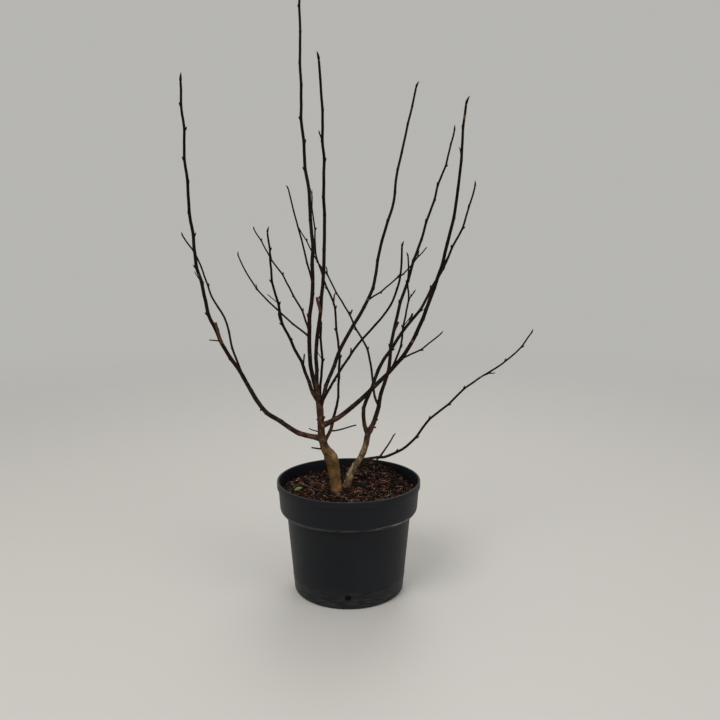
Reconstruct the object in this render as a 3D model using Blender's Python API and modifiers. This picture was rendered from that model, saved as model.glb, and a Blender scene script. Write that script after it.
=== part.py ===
"""A young magnolia shrub, bare in winter, in its round nursery pot.

Metres, +Z up. The origin is the middle of the pot's flat underside, and -Y is the front.
Two stems rise from the soil and fork into boughs, and the bare shoots grow on these in masses.
"""

import math
import random
from collections import namedtuple

import bmesh
import bpy
from mathutils import Vector, noise

# Between two pieces that touch
GAP = 0.0003
WELD = 0.00001

# The pot, moulded in one piece: a tapered cup, a wider band at the top and a narrow lip
POT_HEIGHT = 0.150
LIP_RADIUS = 0.095
LIP_DEPTH = 0.009
LIP_WIDTH = 0.0027
LIP_EDGE = 0.0007
BAND_TOP_RADIUS = 0.0932
BAND_FOOT_RADIUS = 0.0914
BAND_FOOT_Z = 0.1155
STEP_RADIUS = 0.0824
STEP_Z = 0.1065
BASE_RADIUS = 0.0733
BASE_CORNER = 0.004
POT_WALL = 0.0016
POT_STEPS = 36
FLOOR_HOLES = 8
FLOOR_HOLE_RADIUS = 0.005
FLOOR_HOLE_RING = 0.052
SIDE_SLOTS = 4
SIDE_SLOT_RADIUS = 0.004
SIDE_SLOT_Z = 0.017

# The soil, level round the stems and banked up against the pot's side at the back right
SOIL_LEVEL = 0.134
SOIL_BANK = 0.0145
SOIL_BANK_TURN = math.radians(68)
SOIL_BANK_WIDTH = 0.5
SOIL_BUMPS = 0.0025
SOIL_BUMP_SIZE = 0.016
SOIL_RINGS = 8
LEVEL_CENTRE = Vector((-0.010, 0.004))
LEVEL_RADIUS = 0.024
LEVEL_FADE = 0.020

# How every shoot grows: a leaf scar and a bud at each node, on one side and then the other
NODE_SPACING = 0.031
NODE_SWELLING = 1.10
ZIGZAG = 0.0013
BUD_LENGTH = 0.0043
BUD_RADIUS = 0.0009
TIP_BUD_LENGTH = 7.5
TIP_BUD_SHAPE = ((0.25, 1.15), (0.6, 0.9), (1.0, 0.2))
FIRST_BUD = 0.012
SPUR_SHARE = 0.09
SPUR_LENGTHS = (0.005, 0.010)
SPUR_RADIUS = 0.0008
HANDLE = 0.36

# The stems' flare at the soil, as a share of their girth there, and the height in which it fades
FLARE = 0.22
FLARE_HEIGHT = 0.007
BELOW_SOIL = 0.010

# A limb leaves `on` at the share `at` of its length, heads along `leaves`, passes the places `by`,
# and ends at `tip`, heading along `arrives`. `girth` is its diameter from foot to tip, at even steps.
Limb = namedtuple("Limb", "on at leaves by tip arrives girth")

STEMS = {
    "trunk_left": Limb(
        None, (-0.0160, -0.006), (-1, 0, 12),
        ((-0.0206, -0.0070, 0.1700), (-0.0248, -0.0072, 0.1845), (-0.0289, -0.0074, 0.1912),
         (-0.0320, -0.0077, 0.1985), (-0.0350, -0.0080, 0.2090)),
        (-0.039, -0.010, 0.264), (-1, 0, 6),
        (0.0130, 0.0138, 0.0145, 0.0154, 0.0168, 0.0184, 0.0138, 0.0112,
         0.0104, 0.0096, 0.0090, 0.0088, 0.0094, 0.0094, 0.0090)),
    "trunk_right": Limb(
        None, (-0.003, 0.014), (3, 0, 9),
        ((0.0020, 0.0142, 0.1500), (0.0062, 0.0150, 0.1597), (0.0193, 0.0180, 0.1797)),
        (0.026, 0.020, 0.208), (2, 1, 9), (0.0096, 0.0093, 0.0082, 0.0081, 0.0084, 0.0082)),
}

BOUGHS = {
    "bough_far_left": Limb(
        "trunk_left", 0.575, (-8, -1, 1), ((-0.101, -0.019, 0.242),),
        (-0.134, -0.030, 0.296), (-5, -1, 10), (0.0068, 0.0052)),
    "bough_right": Limb(
        "trunk_left", 0.70, (9, -3, 4), (),
        (0.049, -0.025, 0.295), (9, -3, 9), (0.0066, 0.0054)),
    "bough_back": Limb(
        "trunk_left", 0.53, (5, 6, 5), (),
        (-0.013, 0.025, 0.284), (1, 3, 12), (0.0047, 0.0043, 0.0033, 0.0034)),
    "bough_inner_right": Limb(
        "trunk_left", 0.89, (4, 5, 10), (),
        (-0.010, 0.010, 0.324), (5, 3, 10), (0.0053, 0.0049)),
    "bough_left": Limb(
        "trunk_left", 0.94, (-7, -3, 9), (),
        (-0.059, -0.024, 0.312), (-3, -3, 10), (0.0050, 0.0042)),
    "bough_second": Limb(
        "trunk_left", 0.96, (-1, -7, 10), (),
        (-0.040, -0.022, 0.333), (1, -1, 12), (0.0052, 0.0049)),
    "bough_leader": Limb(
        "trunk_left", 1.0, (-4, 0, 12), (),
        (-0.050, -0.008, 0.337), (0, 0, 1), (0.0058, 0.0053)),
    "bough_outer_right": Limb(
        "trunk_right", 0.97, (-5, -1, 10), (),
        (0.040, 0.015, 0.296), (5, 0, 14), (0.0053, 0.0048)),
    "bough_right_back": Limb(
        "trunk_right", 1.0, (8, 3, 10), (),
        (0.046, 0.036, 0.266), (4, 3, 10), (0.0066, 0.0052)),
    "bough_crossing": Limb(
        "bough_right_back", 0.62, (-5, 4, 8), (),
        (0.031, 0.046, 0.286), (-1, 4, 10), (0.0032, 0.0031)),
    "bough_low_right": Limb(
        "trunk_right", 0.51, (8, 4, -1), (),
        (0.0402, 0.029, 0.1706), (9, 2, 0), (0.0038, 0.0036)),
}

# Dead snags, fused to the limb that they stand on
SNAGS = {
    "trunk_left": (
        Limb("trunk_left", 0.45, (-10, -4, 2), (), (-0.050, -0.012, 0.196), (-10, -2, 2), (0.0026, 0.0018)),
        Limb("trunk_left", 0.63, (-10, 2, 4), (), (-0.052, -0.005, 0.220), (-8, 1, 5), (0.0020, 0.0012)),
    ),
    "bough_back": (
        Limb("bough_back", 0.20, (10, 1, 0), (), (0.010, 0.016, 0.219), (10, 1, 2), (0.0022, 0.0018)),
    ),
    "trunk_right": (
        Limb("trunk_right", 0.20, (-1, -8, 9), (), (0.0056, 0.0085, 0.1685), (1, 0, 9), (0.0024, 0.0012)),
    ),
    "bough_left": (
        Limb("bough_left", 0.88, (1, -6, 9), (), (-0.055, -0.029, 0.322), (1, -4, 9), (0.0022, 0.0018)),
    ),
}

# Each mass: its name, then its stem, then the side shoots that grow on it
MASSES = {
    "twigs_far_left": {
        "stem": Limb(
            "bough_far_left", 1.0, (-5, -2, 10),
            ((-0.1594, -0.0403, 0.3428), (-0.172, -0.050, 0.387), (-0.183, -0.065, 0.470)),
            (-0.186, -0.085, 0.649), (0, -1, 12), (0.0052, 0.0027)),
        "back": Limb(
            "stem", 0.004, (-3, 3, 10),
            ((-0.1460, -0.024, 0.3287), (-0.1562, -0.014, 0.3646), (-0.1766, -0.002, 0.3965),
             (-0.1920, 0.013, 0.4350)),
            (-0.219, 0.030, 0.474), (-6, 3, 10), (0.0031, 0.0020)),
        "snag": Limb("stem", 0.13, (-2, -4, 10), (), (-0.162, -0.048, 0.364), (-2, -2, 10), (0.0038, 0.0034)),
    },
    "twigs_right_tall": {
        "stem": Limb(
            "bough_right", 1.0, (8, -4, 10), ((0.084, -0.045, 0.350), (0.122, -0.080, 0.484)),
            (0.132, -0.110, 0.620), (1, -2, 10), (0.0055, 0.0026)),
        "up": Limb(
            "stem", 0.02, (5, -5, 10), ((0.070, -0.055, 0.370),),
            (0.070, -0.090, 0.451), (-1, -3, 10), (0.0029, 0.0018)),
        "low": Limb("stem", 0.08, (10, -9, 6), (), (0.114, -0.075, 0.356), (9, -8, 10), (0.0025, 0.0017)),
    },
    "twigs_leader": {
        "stem": Limb(
            "bough_leader", 1.0, (0, 0, 1),
            ((-0.045, -0.005, 0.415), (-0.048, 0.000, 0.505), (-0.057, 0.007, 0.601)),
            (-0.059, 0.020, 0.774), (0, 1, 12), (0.0053, 0.0028)),
        "low": Limb("stem", 0.01, (-10, 6, 7), (), (-0.151, 0.060, 0.448), (-4, 4, 10), (0.0027, 0.0018)),
        "high": Limb("stem", 0.025, (-4, 8, 10), (), (-0.136, 0.110, 0.482), (-6, 7, 10), (0.0029, 0.0018)),
        "fore": Limb(
            "stem", 0.165, (-2, -5, 10), (), (-0.070, -0.065, 0.528), (-2, -4, 10), (0.0027, 0.0017)),
    },
    "twigs_second": {
        "stem": Limb(
            "bough_second", 1.0, (1, -1, 12), ((-0.032, -0.030, 0.395), (-0.028, -0.042, 0.490)),
            (-0.033, -0.060, 0.678), (-1, -1, 12), (0.0049, 0.0028)),
        "short": Limb(
            "stem", 0.127, (-2, -4, 10), (), (-0.038, -0.034, 0.394), (0, -1, 10), (0.0042, 0.0036)),
    },
    "twigs_left": {
        "stem": Limb(
            "bough_left", 1.0, (-5, -6, 10), (), (-0.088, -0.120, 0.479), (0, -5, 10), (0.0041, 0.0020)),
        "side": Limb("stem", 0.24, (-6, 2, 10), (), (-0.087, -0.035, 0.376), (-2, 2, 10), (0.0020, 0.0017)),
    },
    "twigs_inner_right": {
        "stem": Limb(
            "bough_inner_right", 1.0, (5, 3, 10),
            ((0.029, 0.035, 0.394), (0.044, 0.060, 0.460), (0.0596, 0.069, 0.511), (0.064, 0.076, 0.546)),
            (0.093, 0.105, 0.677), (2, 2, 10), (0.0049, 0.0028)),
        "side": Limb("stem", 0.19, (10, 12, 6), (), (0.112, 0.135, 0.454), (8, 9, 10), (0.0025, 0.0017)),
    },
    "twigs_front": {
        "stem": Limb(
            "trunk_left", 0.885, (4, -6, 10), ((0.004, -0.045, 0.325), (0.054, -0.100, 0.398)),
            (0.061, -0.135, 0.464), (0, -5, 10), (0.0036, 0.0022)),
        "snag": Limb("stem", 0.34, (-1, -2, 10), (), (0.004, -0.053, 0.333), (-1, -2, 10), (0.0020, 0.0020)),
    },
    "twigs_back": {
        "stem": Limb(
            "bough_back", 1.0, (0, 2, 8), ((-0.020, 0.038, 0.376), (-0.042, 0.065, 0.434)),
            (-0.052, 0.100, 0.531), (-1, 3, 9), (0.0034, 0.0018)),
    },
    "twigs_upright": {
        "stem": Limb(
            "trunk_left", 0.91, (1, 7, 10), (), (-0.036, 0.020, 0.363), (0, 2, 12), (0.0036, 0.0029)),
    },
    "twigs_outer_right": {
        "stem": Limb(
            "bough_outer_right", 1.0, (5, 1, 10), ((0.110, 0.030, 0.400),),
            (0.167, 0.045, 0.540), (2, 1, 10), (0.0048, 0.0023)),
    },
    "twigs_right_back": {
        "stem": Limb(
            "bough_right_back", 1.0, (4, 3, 10), ((0.065, 0.065, 0.357), (0.118, 0.110, 0.518)),
            (0.151, 0.150, 0.624), (2, 3, 10), (0.0052, 0.0025)),
    },
    "twigs_crossing": {
        "stem": Limb(
            "bough_crossing", 1.0, (-1, 4, 10), ((-0.006, 0.090, 0.370),),
            (-0.075, 0.140, 0.484), (-5, 4, 10), (0.0031, 0.0017)),
    },
    "twigs_low_right": {
        "stem": Limb(
            "bough_low_right", 1.0, (9, 2, 0),
            ((0.0495, 0.0315, 0.1705), (0.0752, 0.039, 0.1798), (0.111, 0.042, 0.2197),
             (0.1798, 0.042, 0.2806), (0.2149, 0.043, 0.3022)),
            (0.250, 0.045, 0.344), (8, 0, 10), (0.0038, 0.0020)),
        "side": Limb("stem", 0.006, (5, 3, 7), (), (0.063, 0.042, 0.202), (4, 2, 9), (0.0027, 0.0019)),
    },
}

# How fine each kind of limb is: its rings' corners, in pairs over four, and its rings between nodes
SIDES = {"stem": 3, "bough": 2, "twig": 1}
BETWEEN = {"stem": 2, "bough": 2, "twig": 1}


def heading(steps):
    return Vector(steps).normalized()


def hermite(start, start_way, end, end_way, count):
    """Count + 1 places on one smooth arc, from start along start_way to end along end_way."""
    reach = (end - start).length * HANDLE
    first, last = start + start_way * reach, end - end_way * reach
    places = []
    for step in range(count + 1):
        t = step / count
        places.append(
            start * (1 - t) ** 3 + first * 3 * t * (1 - t) ** 2 + last * 3 * t**2 * (1 - t) + end * t**3
        )
    return places


def route(foot, limb, fineness=24):
    """The limb's smooth middle line, before its zigzag."""
    stops = [foot, *(Vector(place) for place in limb.by), Vector(limb.tip)]
    ways = [heading(limb.leaves)]
    ways += [(after - before).normalized() for before, after in zip(stops, stops[2:])]
    ways.append(heading(limb.arrives))
    line = [foot]
    for number, (start, end) in enumerate(zip(stops, stops[1:])):
        line += hermite(start, ways[number], end, ways[number + 1], fineness)[1:]
    return line


def lengths(line):
    """How far along the line each of its places is."""
    total = [0.0]
    for start, end in zip(line, line[1:]):
        total.append(total[-1] + (end - start).length)
    return total


def place_at(line, share):
    """The place at that share of the line's length, and the way the line heads there."""
    along = lengths(line)
    wanted = share * along[-1]
    for number in range(1, len(line)):
        if along[number] >= wanted - 1e-12:
            break
    start, end = line[number - 1], line[number]
    part = (wanted - along[number - 1]) / (along[number] - along[number - 1])
    return start.lerp(end, part), (end - start).normalized()


def knots(line, rng):
    """The shares of the line where its nodes are, about NODE_SPACING apart."""
    total = lengths(line)[-1]
    count = max(1, round(total / NODE_SPACING))
    return [(number + rng.uniform(-0.2, 0.2)) / count for number in range(1, count)]


def grow(name, limb, line, kind):
    """The limb's rings as (place, radius), then its buds and its spurs as (foot, way, length, radius)."""
    rng = random.Random(name)
    total = lengths(line)[-1]
    stops = [0.0, *knots(line, rng), 1.0]
    turn = rng.uniform(0, math.tau)
    rings, buds, spurs = [], [], []
    for number, share in enumerate(stops):
        for step in range(1, BETWEEN[kind] + 1) if number else ():
            between = stops[number - 1] + (share - stops[number - 1]) * step / (BETWEEN[kind] + 1)
            rings.append((place_at(line, between)[0], girth_at(limb, between) / 2))
        place, way = place_at(line, share)
        radius = girth_at(limb, share) / 2
        if 0 < number < len(stops) - 1:
            side = across(way, turn + math.pi * number + rng.uniform(-0.5, 0.5))
            place = place + side * ZIGZAG
            radius *= NODE_SWELLING
            out = (way * 2 + side).normalized()
            length = rng.uniform(*SPUR_LENGTHS)
            if share * total < FIRST_BUD:
                pass
            elif rng.random() < SPUR_SHARE:
                spurs.append((place, out, length, SPUR_RADIUS))
            else:
                buds.append((place + side * radius, out, BUD_LENGTH, BUD_RADIUS))
        rings.append((place, radius))
    return rings, buds, spurs


def budded(rings):
    """The rings with the bud at the shoot's tip, which swells a little and then closes to a point."""
    tip, radius = rings[-1]
    way = (tip - rings[-2][0]).normalized()
    length = radius * TIP_BUD_LENGTH
    foot = tip - way * length
    shape = [(foot + way * length * share, radius * swell) for share, swell in TIP_BUD_SHAPE]
    below = [ring for ring in rings[1:-1] if (tip - ring[0]).length > length * 1.3]
    return [rings[0], *below, (foot, radius), *shape]


def girth_at(limb, share):
    """The limb's diameter at a share of its length."""
    step = min(share, 0.9999) * (len(limb.girth) - 1)
    before = int(step)
    return limb.girth[before] + (limb.girth[before + 1] - limb.girth[before]) * (step - before)


def across(way, turn):
    """A direction square to the way, turned round it."""
    aside = way.cross(Vector((0, 1, 0.3))).normalized()
    return aside * math.cos(turn) + way.cross(aside) * math.sin(turn)


def all_lines():
    """Every limb's middle line by name; a mass's side shoots are named after the mass."""
    lines = {}
    for name, limb in STEMS.items():
        foot = Vector((*limb.at, SOIL_LEVEL))
        lines[name] = route(foot, limb)
    for name, limb in BOUGHS.items():
        lines[name] = route(place_at(lines[limb.on], limb.at)[0], limb)
    for mass, shoots in MASSES.items():
        for shoot, limb in shoots.items():
            parent = limb.on if limb.on in lines else f"{mass}.{limb.on}"
            lines[f"{mass}.{shoot}"] = route(place_at(lines[parent], limb.at)[0], limb)
    return lines


def new_collection(name):
    collection = bpy.data.collections.new(name)
    bpy.context.scene.collection.children.link(collection)
    return collection


def material(name, colour, roughness):
    made = bpy.data.materials.new(name)
    made.use_nodes = True
    surface = made.node_tree.nodes["Principled BSDF"]
    surface.inputs["Base Color"].default_value = (*colour, 1)
    surface.inputs["Roughness"].default_value = roughness
    surface.inputs["Metallic"].default_value = 0.0
    return made


def add_object(name, mesh, collection, finish=None):
    made = bpy.data.objects.new(name, mesh)
    collection.objects.link(made)
    if finish:
        mesh.materials.clear()
        mesh.materials.append(finish)
    return made


def as_mesh(maker, weld=WELD):
    """The evaluated shape of an object as a welded mesh; the object itself is removed."""
    bpy.context.view_layer.update()
    evaluated = maker.evaluated_get(bpy.context.evaluated_depsgraph_get())
    mesh = bpy.data.meshes.new_from_object(evaluated)
    mesh.transform(maker.matrix_world)
    bpy.data.objects.remove(maker)
    shape = bmesh.new()
    shape.from_mesh(mesh)
    bmesh.ops.remove_doubles(shape, verts=shape.verts, dist=weld)
    shape.to_mesh(mesh)
    shape.free()
    return mesh


def tube(rings, fineness, collection, more=0.0):
    """A round limb through the rings, each a place and a radius; `more` thickens it all over."""
    curve = bpy.data.curves.new("limb", "CURVE")
    curve.dimensions = "3D"
    curve.fill_mode = "FULL"
    curve.use_fill_caps = True
    curve.bevel_depth = 1.0
    curve.bevel_resolution = fineness
    spline = curve.splines.new("POLY")
    spline.points.add(len(rings) - 1)
    for point, (place, radius) in zip(spline.points, rings):
        point.co = (*place, 1)
        point.radius = radius + more
    return as_mesh(add_object("limb", curve, collection))


def bud_mesh(foot, way, length, radius):
    """A small pointed bud, its foot sunk in the shoot."""
    shape = bmesh.new()
    bmesh.ops.create_icosphere(shape, subdivisions=1, radius=1.0)
    for corner in shape.verts:
        slim = 1 - 0.45 * max(0.0, corner.co.z)
        corner.co = (corner.co.x * radius * slim, corner.co.y * radius * slim, corner.co.z * length / 2)
    turn = Vector((0, 0, 1)).rotation_difference(way).to_matrix().to_4x4()
    shape.transform(turn)
    bmesh.ops.translate(shape, verts=shape.verts, vec=foot + way * length * 0.3)
    mesh = bpy.data.meshes.new("bud")
    shape.to_mesh(mesh)
    shape.free()
    return mesh


def boolean(target, operation, others):
    """Joins a collection to the target, or cuts it away, and leaves the plain result in the target."""
    step = target.modifiers.new(operation.lower(), "BOOLEAN")
    step.operation = operation
    step.operand_type = "COLLECTION"
    step.collection = others
    bpy.context.view_layer.update()
    evaluated = target.evaluated_get(bpy.context.evaluated_depsgraph_get())
    mesh = bpy.data.meshes.new_from_object(evaluated)
    target.modifiers.clear()
    target.data = mesh


# The scene is emptied, and the object's parts and the cutters get a collection each
for leftover in list(bpy.data.objects):
    bpy.data.objects.remove(leftover)
PARTS = new_collection("magnolia")
CUTTERS = new_collection("cutters")

POT_PLASTIC = material("pot plastic", (0.030, 0.031, 0.033), 0.45)
SOIL_MIX = material("soil mix", (0.060, 0.032, 0.022), 0.95)
OLD_BARK = material("old bark", (0.190, 0.130, 0.070), 0.75)
YOUNG_BARK = material("young bark", (0.075, 0.055, 0.035), 0.60)
SHOOT_BARK = material("shoot bark", (0.045, 0.036, 0.028), 0.50)


def turned(name, profile, finish):
    """A solid turned about the Z axis, from a profile that runs down its outer side."""
    outline = bpy.data.meshes.new(name)
    corners = [(radius, 0, height) for radius, height in profile]
    outline.from_pydata(corners, [(n, n + 1) for n in range(len(corners) - 1)], [])
    lathe = add_object(name, outline, PARTS)
    screw = lathe.modifiers.new("turn", "SCREW")
    screw.steps = screw.render_steps = POT_STEPS
    screw.use_merge_vertices = True
    screw.merge_threshold = WELD
    screw.use_normal_calculate = False
    return add_object(name, as_mesh(lathe), PARTS, finish)


def side(inset):
    """The pot's side from under its lip to its floor, `inset` inside the outer face: radius, height."""
    turn_in = BAND_FOOT_RADIUS - STEP_RADIUS
    drop = BAND_FOOT_Z - STEP_Z
    line = [(BAND_TOP_RADIUS - inset, POT_HEIGHT - LIP_DEPTH)]
    for angle in (0, math.pi / 6, math.pi / 3):
        radius = STEP_RADIUS + (turn_in - inset) * math.cos(angle)
        line.append((radius, BAND_FOOT_Z - (drop - inset) * math.sin(angle)))
    line.append((STEP_RADIUS - inset, STEP_Z + inset))
    for angle in (0, math.pi / 4, math.pi / 2):
        radius = BASE_RADIUS - BASE_CORNER + (BASE_CORNER - inset) * math.cos(angle)
        line.append((radius, BASE_CORNER - (BASE_CORNER - inset) * math.sin(angle)))
    return line


def make_pot():
    lip = [
        (LIP_RADIUS - LIP_WIDTH, POT_HEIGHT - LIP_EDGE), (LIP_RADIUS - LIP_WIDTH + LIP_EDGE, POT_HEIGHT),
        (LIP_RADIUS - LIP_EDGE, POT_HEIGHT), (LIP_RADIUS, POT_HEIGHT - LIP_EDGE),
        (LIP_RADIUS, POT_HEIGHT - LIP_DEPTH + LIP_EDGE), (LIP_RADIUS - LIP_EDGE, POT_HEIGHT - LIP_DEPTH),
    ]
    inside = [(0, POT_WALL), *reversed(side(POT_WALL))]
    pot = turned("pot", [*inside, *lip, *side(0), (0, 0)], POT_PLASTIC)
    for number in range(FLOOR_HOLES):
        turn = math.tau * (number + 0.5) / FLOOR_HOLES
        hole = (FLOOR_HOLE_RING * math.cos(turn), FLOOR_HOLE_RING * math.sin(turn), 0)
        drill(pot, f"floor hole {number}", FLOOR_HOLE_RADIUS, 0.02, hole, (0, 0, 0))
    for number in range(SIDE_SLOTS):
        turn = math.tau * number / SIDE_SLOTS
        middle = (BASE_RADIUS * math.cos(turn), BASE_RADIUS * math.sin(turn), SIDE_SLOT_Z)
        drill(pot, f"side slot {number}", SIDE_SLOT_RADIUS, 0.012, middle, (0, math.pi / 2, turn))
    return pot


def drill(target, name, radius, depth, middle, turn):
    shape = bmesh.new()
    bmesh.ops.create_cone(shape, cap_ends=True, segments=12, radius1=radius, radius2=radius, depth=depth)
    mesh = bpy.data.meshes.new(name)
    shape.to_mesh(mesh)
    shape.free()
    cutter = add_object(name, mesh, CUTTERS)
    cutter.location = middle
    cutter.rotation_euler = turn
    cutter.hide_render = True
    cutter.display_type = "WIRE"
    cut = target.modifiers.new(name, "BOOLEAN")
    cut.operation = "DIFFERENCE"
    cut.object = cutter


def soil_lift(x, y):
    """How far the soil stands above its level: bumps, and a bank against the pot's side."""
    away = (Vector((x, y)) - LEVEL_CENTRE).length - LEVEL_RADIUS
    rough = max(0.0, min(1.0, away / LEVEL_FADE))
    bumps = noise.noise(Vector((x, y, 0)) / SOIL_BUMP_SIZE) * SOIL_BUMPS
    towards = (x * math.cos(SOIL_BANK_TURN) + y * math.sin(SOIL_BANK_TURN)) / BAND_FOOT_RADIUS
    beside = (y * math.cos(SOIL_BANK_TURN) - x * math.sin(SOIL_BANK_TURN)) / BAND_FOOT_RADIUS
    bank = SOIL_BANK * max(0.0, towards) ** 2 * math.exp(-(beside / SOIL_BANK_WIDTH) ** 2)
    return (bumps + bank) * rough


def make_soil():
    wall = side(POT_WALL + GAP)
    (top_radius, top), (foot_radius, foot) = wall[0], wall[1]

    def edge(height):
        return foot_radius + (top_radius - foot_radius) * min(1.0, (height - foot) / (top - foot))

    surface = [(edge(SOIL_LEVEL) * n / SOIL_RINGS, SOIL_LEVEL) for n in range(SOIL_RINGS + 1)]
    soil = turned("soil", [*surface, *wall[1:], (0, POT_WALL + GAP)], SOIL_MIX)
    for corner in soil.data.vertices:
        if corner.co.z < SOIL_LEVEL - WELD:
            continue
        corner.co.z += soil_lift(corner.co.x, corner.co.y)
        radius = math.hypot(corner.co.x, corner.co.y)
        if radius > edge(SOIL_LEVEL) - WELD:
            corner.co.x *= edge(corner.co.z) / radius
            corner.co.y *= edge(corner.co.z) / radius
    return soil


def flared(rings, limb):
    """The stem's rings with its root flare, carried on below the soil for the flat cut."""
    spread = []
    for place, radius in rings:
        fade = math.exp(-(place.z - SOIL_LEVEL) / FLARE_HEIGHT)
        spread.append((place, radius * (1 + FLARE * fade)))
    foot, radius = spread[0]
    below = foot - heading(limb.leaves) * BELOW_SOIL
    return [(below, radius), *spread]


def flare_steps(line, limb, rings):
    """Extra rings close above the soil, where the flare curves."""
    total = lengths(line)[-1]
    near = []
    for step in (0.25, 0.5, 1.0, 1.6):
        share = step * FLARE_HEIGHT / total
        near.append((place_at(line, share)[0], girth_at(limb, share) / 2))
    higher = [ring for ring in rings[1:] if ring[0].z > near[-1][0].z + FLARE_HEIGHT / 2]
    return [rings[0], *near, *higher]


def make_stem(name, limb, rings):
    """A stem with its root flare, cut flat just above the soil."""
    mesh = tube(flared(rings, limb), SIDES["stem"], PARTS)
    shape = bmesh.new()
    shape.from_mesh(mesh)
    cut = bmesh.ops.bisect_plane(
        shape, geom=[*shape.verts, *shape.edges, *shape.faces], dist=0,
        plane_co=(0, 0, SOIL_LEVEL + GAP), plane_no=(0, 0, 1), clear_inner=True)
    rim = [part for part in cut["geom_cut"] if isinstance(part, bmesh.types.BMEdge)]
    bmesh.ops.contextual_create(shape, geom=rim)
    shape.to_mesh(mesh)
    shape.free()
    return add_object(name, mesh, PARTS, OLD_BARK)


def room_for(name, rings, kind):
    """The limb a little thicker and longer, for cutting what grows on it clear of it."""
    (first, first_radius), (second, _) = rings[0], rings[1]
    (last, last_radius), (before, _) = rings[-1], rings[-2]
    longer = [(first - (second - first).normalized() * GAP, first_radius), *rings[1:-1]]
    longer.append((last + (last - before).normalized() * GAP, last_radius))
    clear = GAP / math.cos(math.pi / (4 + 2 * SIDES[kind]))
    room = add_object(name + " room", tube(longer, SIDES[kind], CUTTERS, clear), CUTTERS)
    room.hide_render = True
    room.display_type = "WIRE"
    return room


def fuse(target, name, meshes):
    """Joins the meshes to the target by one Boolean."""
    pieces = new_collection(name + " pieces")
    for number, mesh in enumerate(meshes):
        add_object(f"{name} piece {number}", mesh, pieces)
    boolean(target, "UNION", pieces)
    for piece in list(pieces.objects):
        bpy.data.objects.remove(piece)
    bpy.data.collections.remove(pieces)


def clear_of(target, rooms):
    """Cuts the target's foot clear of the limb it grows on and of that limb's other shoots."""
    near = new_collection("near")
    for room in rooms:
        near.objects.link(room)
    boolean(target, "DIFFERENCE", near)
    bpy.data.collections.remove(near)


def shoot_meshes(name, limb, line):
    """One bare shoot: the shoot itself, then its spurs and its buds."""
    rings, buds, spurs = grow(name, limb, line, "twig")
    meshes = [tube(budded(rings), SIDES["twig"], PARTS)]
    for foot, way, length, radius in spurs:
        spur = budded([(foot, radius), (foot + way * (length + radius * TIP_BUD_LENGTH), radius)])
        meshes.append(tube(spur, SIDES["twig"], PARTS))
    meshes += [bud_mesh(*bud) for bud in buds]
    return meshes


def make_snags(target, name, lines):
    """Fuses a limb's dead snags to it."""
    meshes = []
    for number, limb in enumerate(SNAGS.get(name, ())):
        line = route(place_at(lines[name], limb.at)[0], limb)
        rings, _, _ = grow(f"{name}.snag{number}", limb, line, "twig")
        meshes.append(tube(rings, SIDES["twig"], PARTS))
    if meshes:
        fuse(target, name, meshes)


def paint(target, finish):
    target.data.materials.clear()
    target.data.materials.append(finish)


def make_magnolia():
    """The stems, then the boughs, then the masses, each cut clear of what it grows on."""
    lines = all_lines()
    rooms = {}
    for name, limb in STEMS.items():
        rings, _, _ = grow(name, limb, lines[name], "stem")
        stem = make_stem(name, limb, flare_steps(lines[name], limb, rings))
        make_snags(stem, name, lines)
        paint(stem, OLD_BARK)
        rooms[name] = [room_for(name, rings, "stem")]
    for name, limb in BOUGHS.items():
        rings, _, _ = grow(name, limb, lines[name], "bough")
        bough = add_object(name, tube(rings, SIDES["bough"], PARTS), PARTS)
        make_snags(bough, name, lines)
        clear_of(bough, rooms[limb.on])
        paint(bough, YOUNG_BARK)
        room = room_for(name, rings, "bough")
        rooms[limb.on].append(room)
        rooms[name] = [room]
    for mass, shoots in MASSES.items():
        meshes = []
        for shoot, limb in shoots.items():
            meshes += shoot_meshes(f"{mass}.{shoot}", limb, lines[f"{mass}.{shoot}"])
        twigs = add_object(mass, meshes[0], PARTS)
        fuse(twigs, mass, meshes[1:])
        on = shoots["stem"].on
        clear_of(twigs, rooms[on])
        paint(twigs, SHOOT_BARK)
        rings, _, _ = grow(f"{mass}.stem", shoots["stem"], lines[f"{mass}.stem"], "twig")
        rooms[on].append(room_for(mass, rings, "twig"))


make_pot()
make_soil()
make_magnolia()
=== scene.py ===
"""The looks of a young magnolia shrub, bare in winter, in its round nursery pot.

Metres, +Z up, and -Y is the front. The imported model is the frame, and every piece rides on its one body.
"""

import math
import random
from collections import namedtuple

import bmesh
import bpy
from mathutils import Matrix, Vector, kdtree, noise


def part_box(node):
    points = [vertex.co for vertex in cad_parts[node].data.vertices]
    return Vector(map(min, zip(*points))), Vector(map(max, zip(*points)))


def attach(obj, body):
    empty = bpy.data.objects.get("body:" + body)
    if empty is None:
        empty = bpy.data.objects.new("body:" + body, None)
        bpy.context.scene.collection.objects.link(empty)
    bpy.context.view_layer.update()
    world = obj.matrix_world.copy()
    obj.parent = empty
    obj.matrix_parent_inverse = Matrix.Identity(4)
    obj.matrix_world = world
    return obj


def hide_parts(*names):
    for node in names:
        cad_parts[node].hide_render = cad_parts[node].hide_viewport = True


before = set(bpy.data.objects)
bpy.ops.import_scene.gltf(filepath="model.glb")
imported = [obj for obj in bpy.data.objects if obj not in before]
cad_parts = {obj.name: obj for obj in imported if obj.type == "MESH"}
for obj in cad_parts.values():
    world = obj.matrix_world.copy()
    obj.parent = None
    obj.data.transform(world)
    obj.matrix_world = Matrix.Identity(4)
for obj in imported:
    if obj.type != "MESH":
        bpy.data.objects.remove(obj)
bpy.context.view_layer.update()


# The view: the camera stands a metre before the pot, a little higher than the shrub's middle, and looks
# slightly down. It sees the whole shrub but the tip of the tallest shoot.
CAMERA_PLACE = (0.015, -0.9798, 0.4692)
CAMERA_PITCH = 9.242
CAMERA_LENS = 38.24
CAMERA_SENSOR = 36.0

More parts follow.
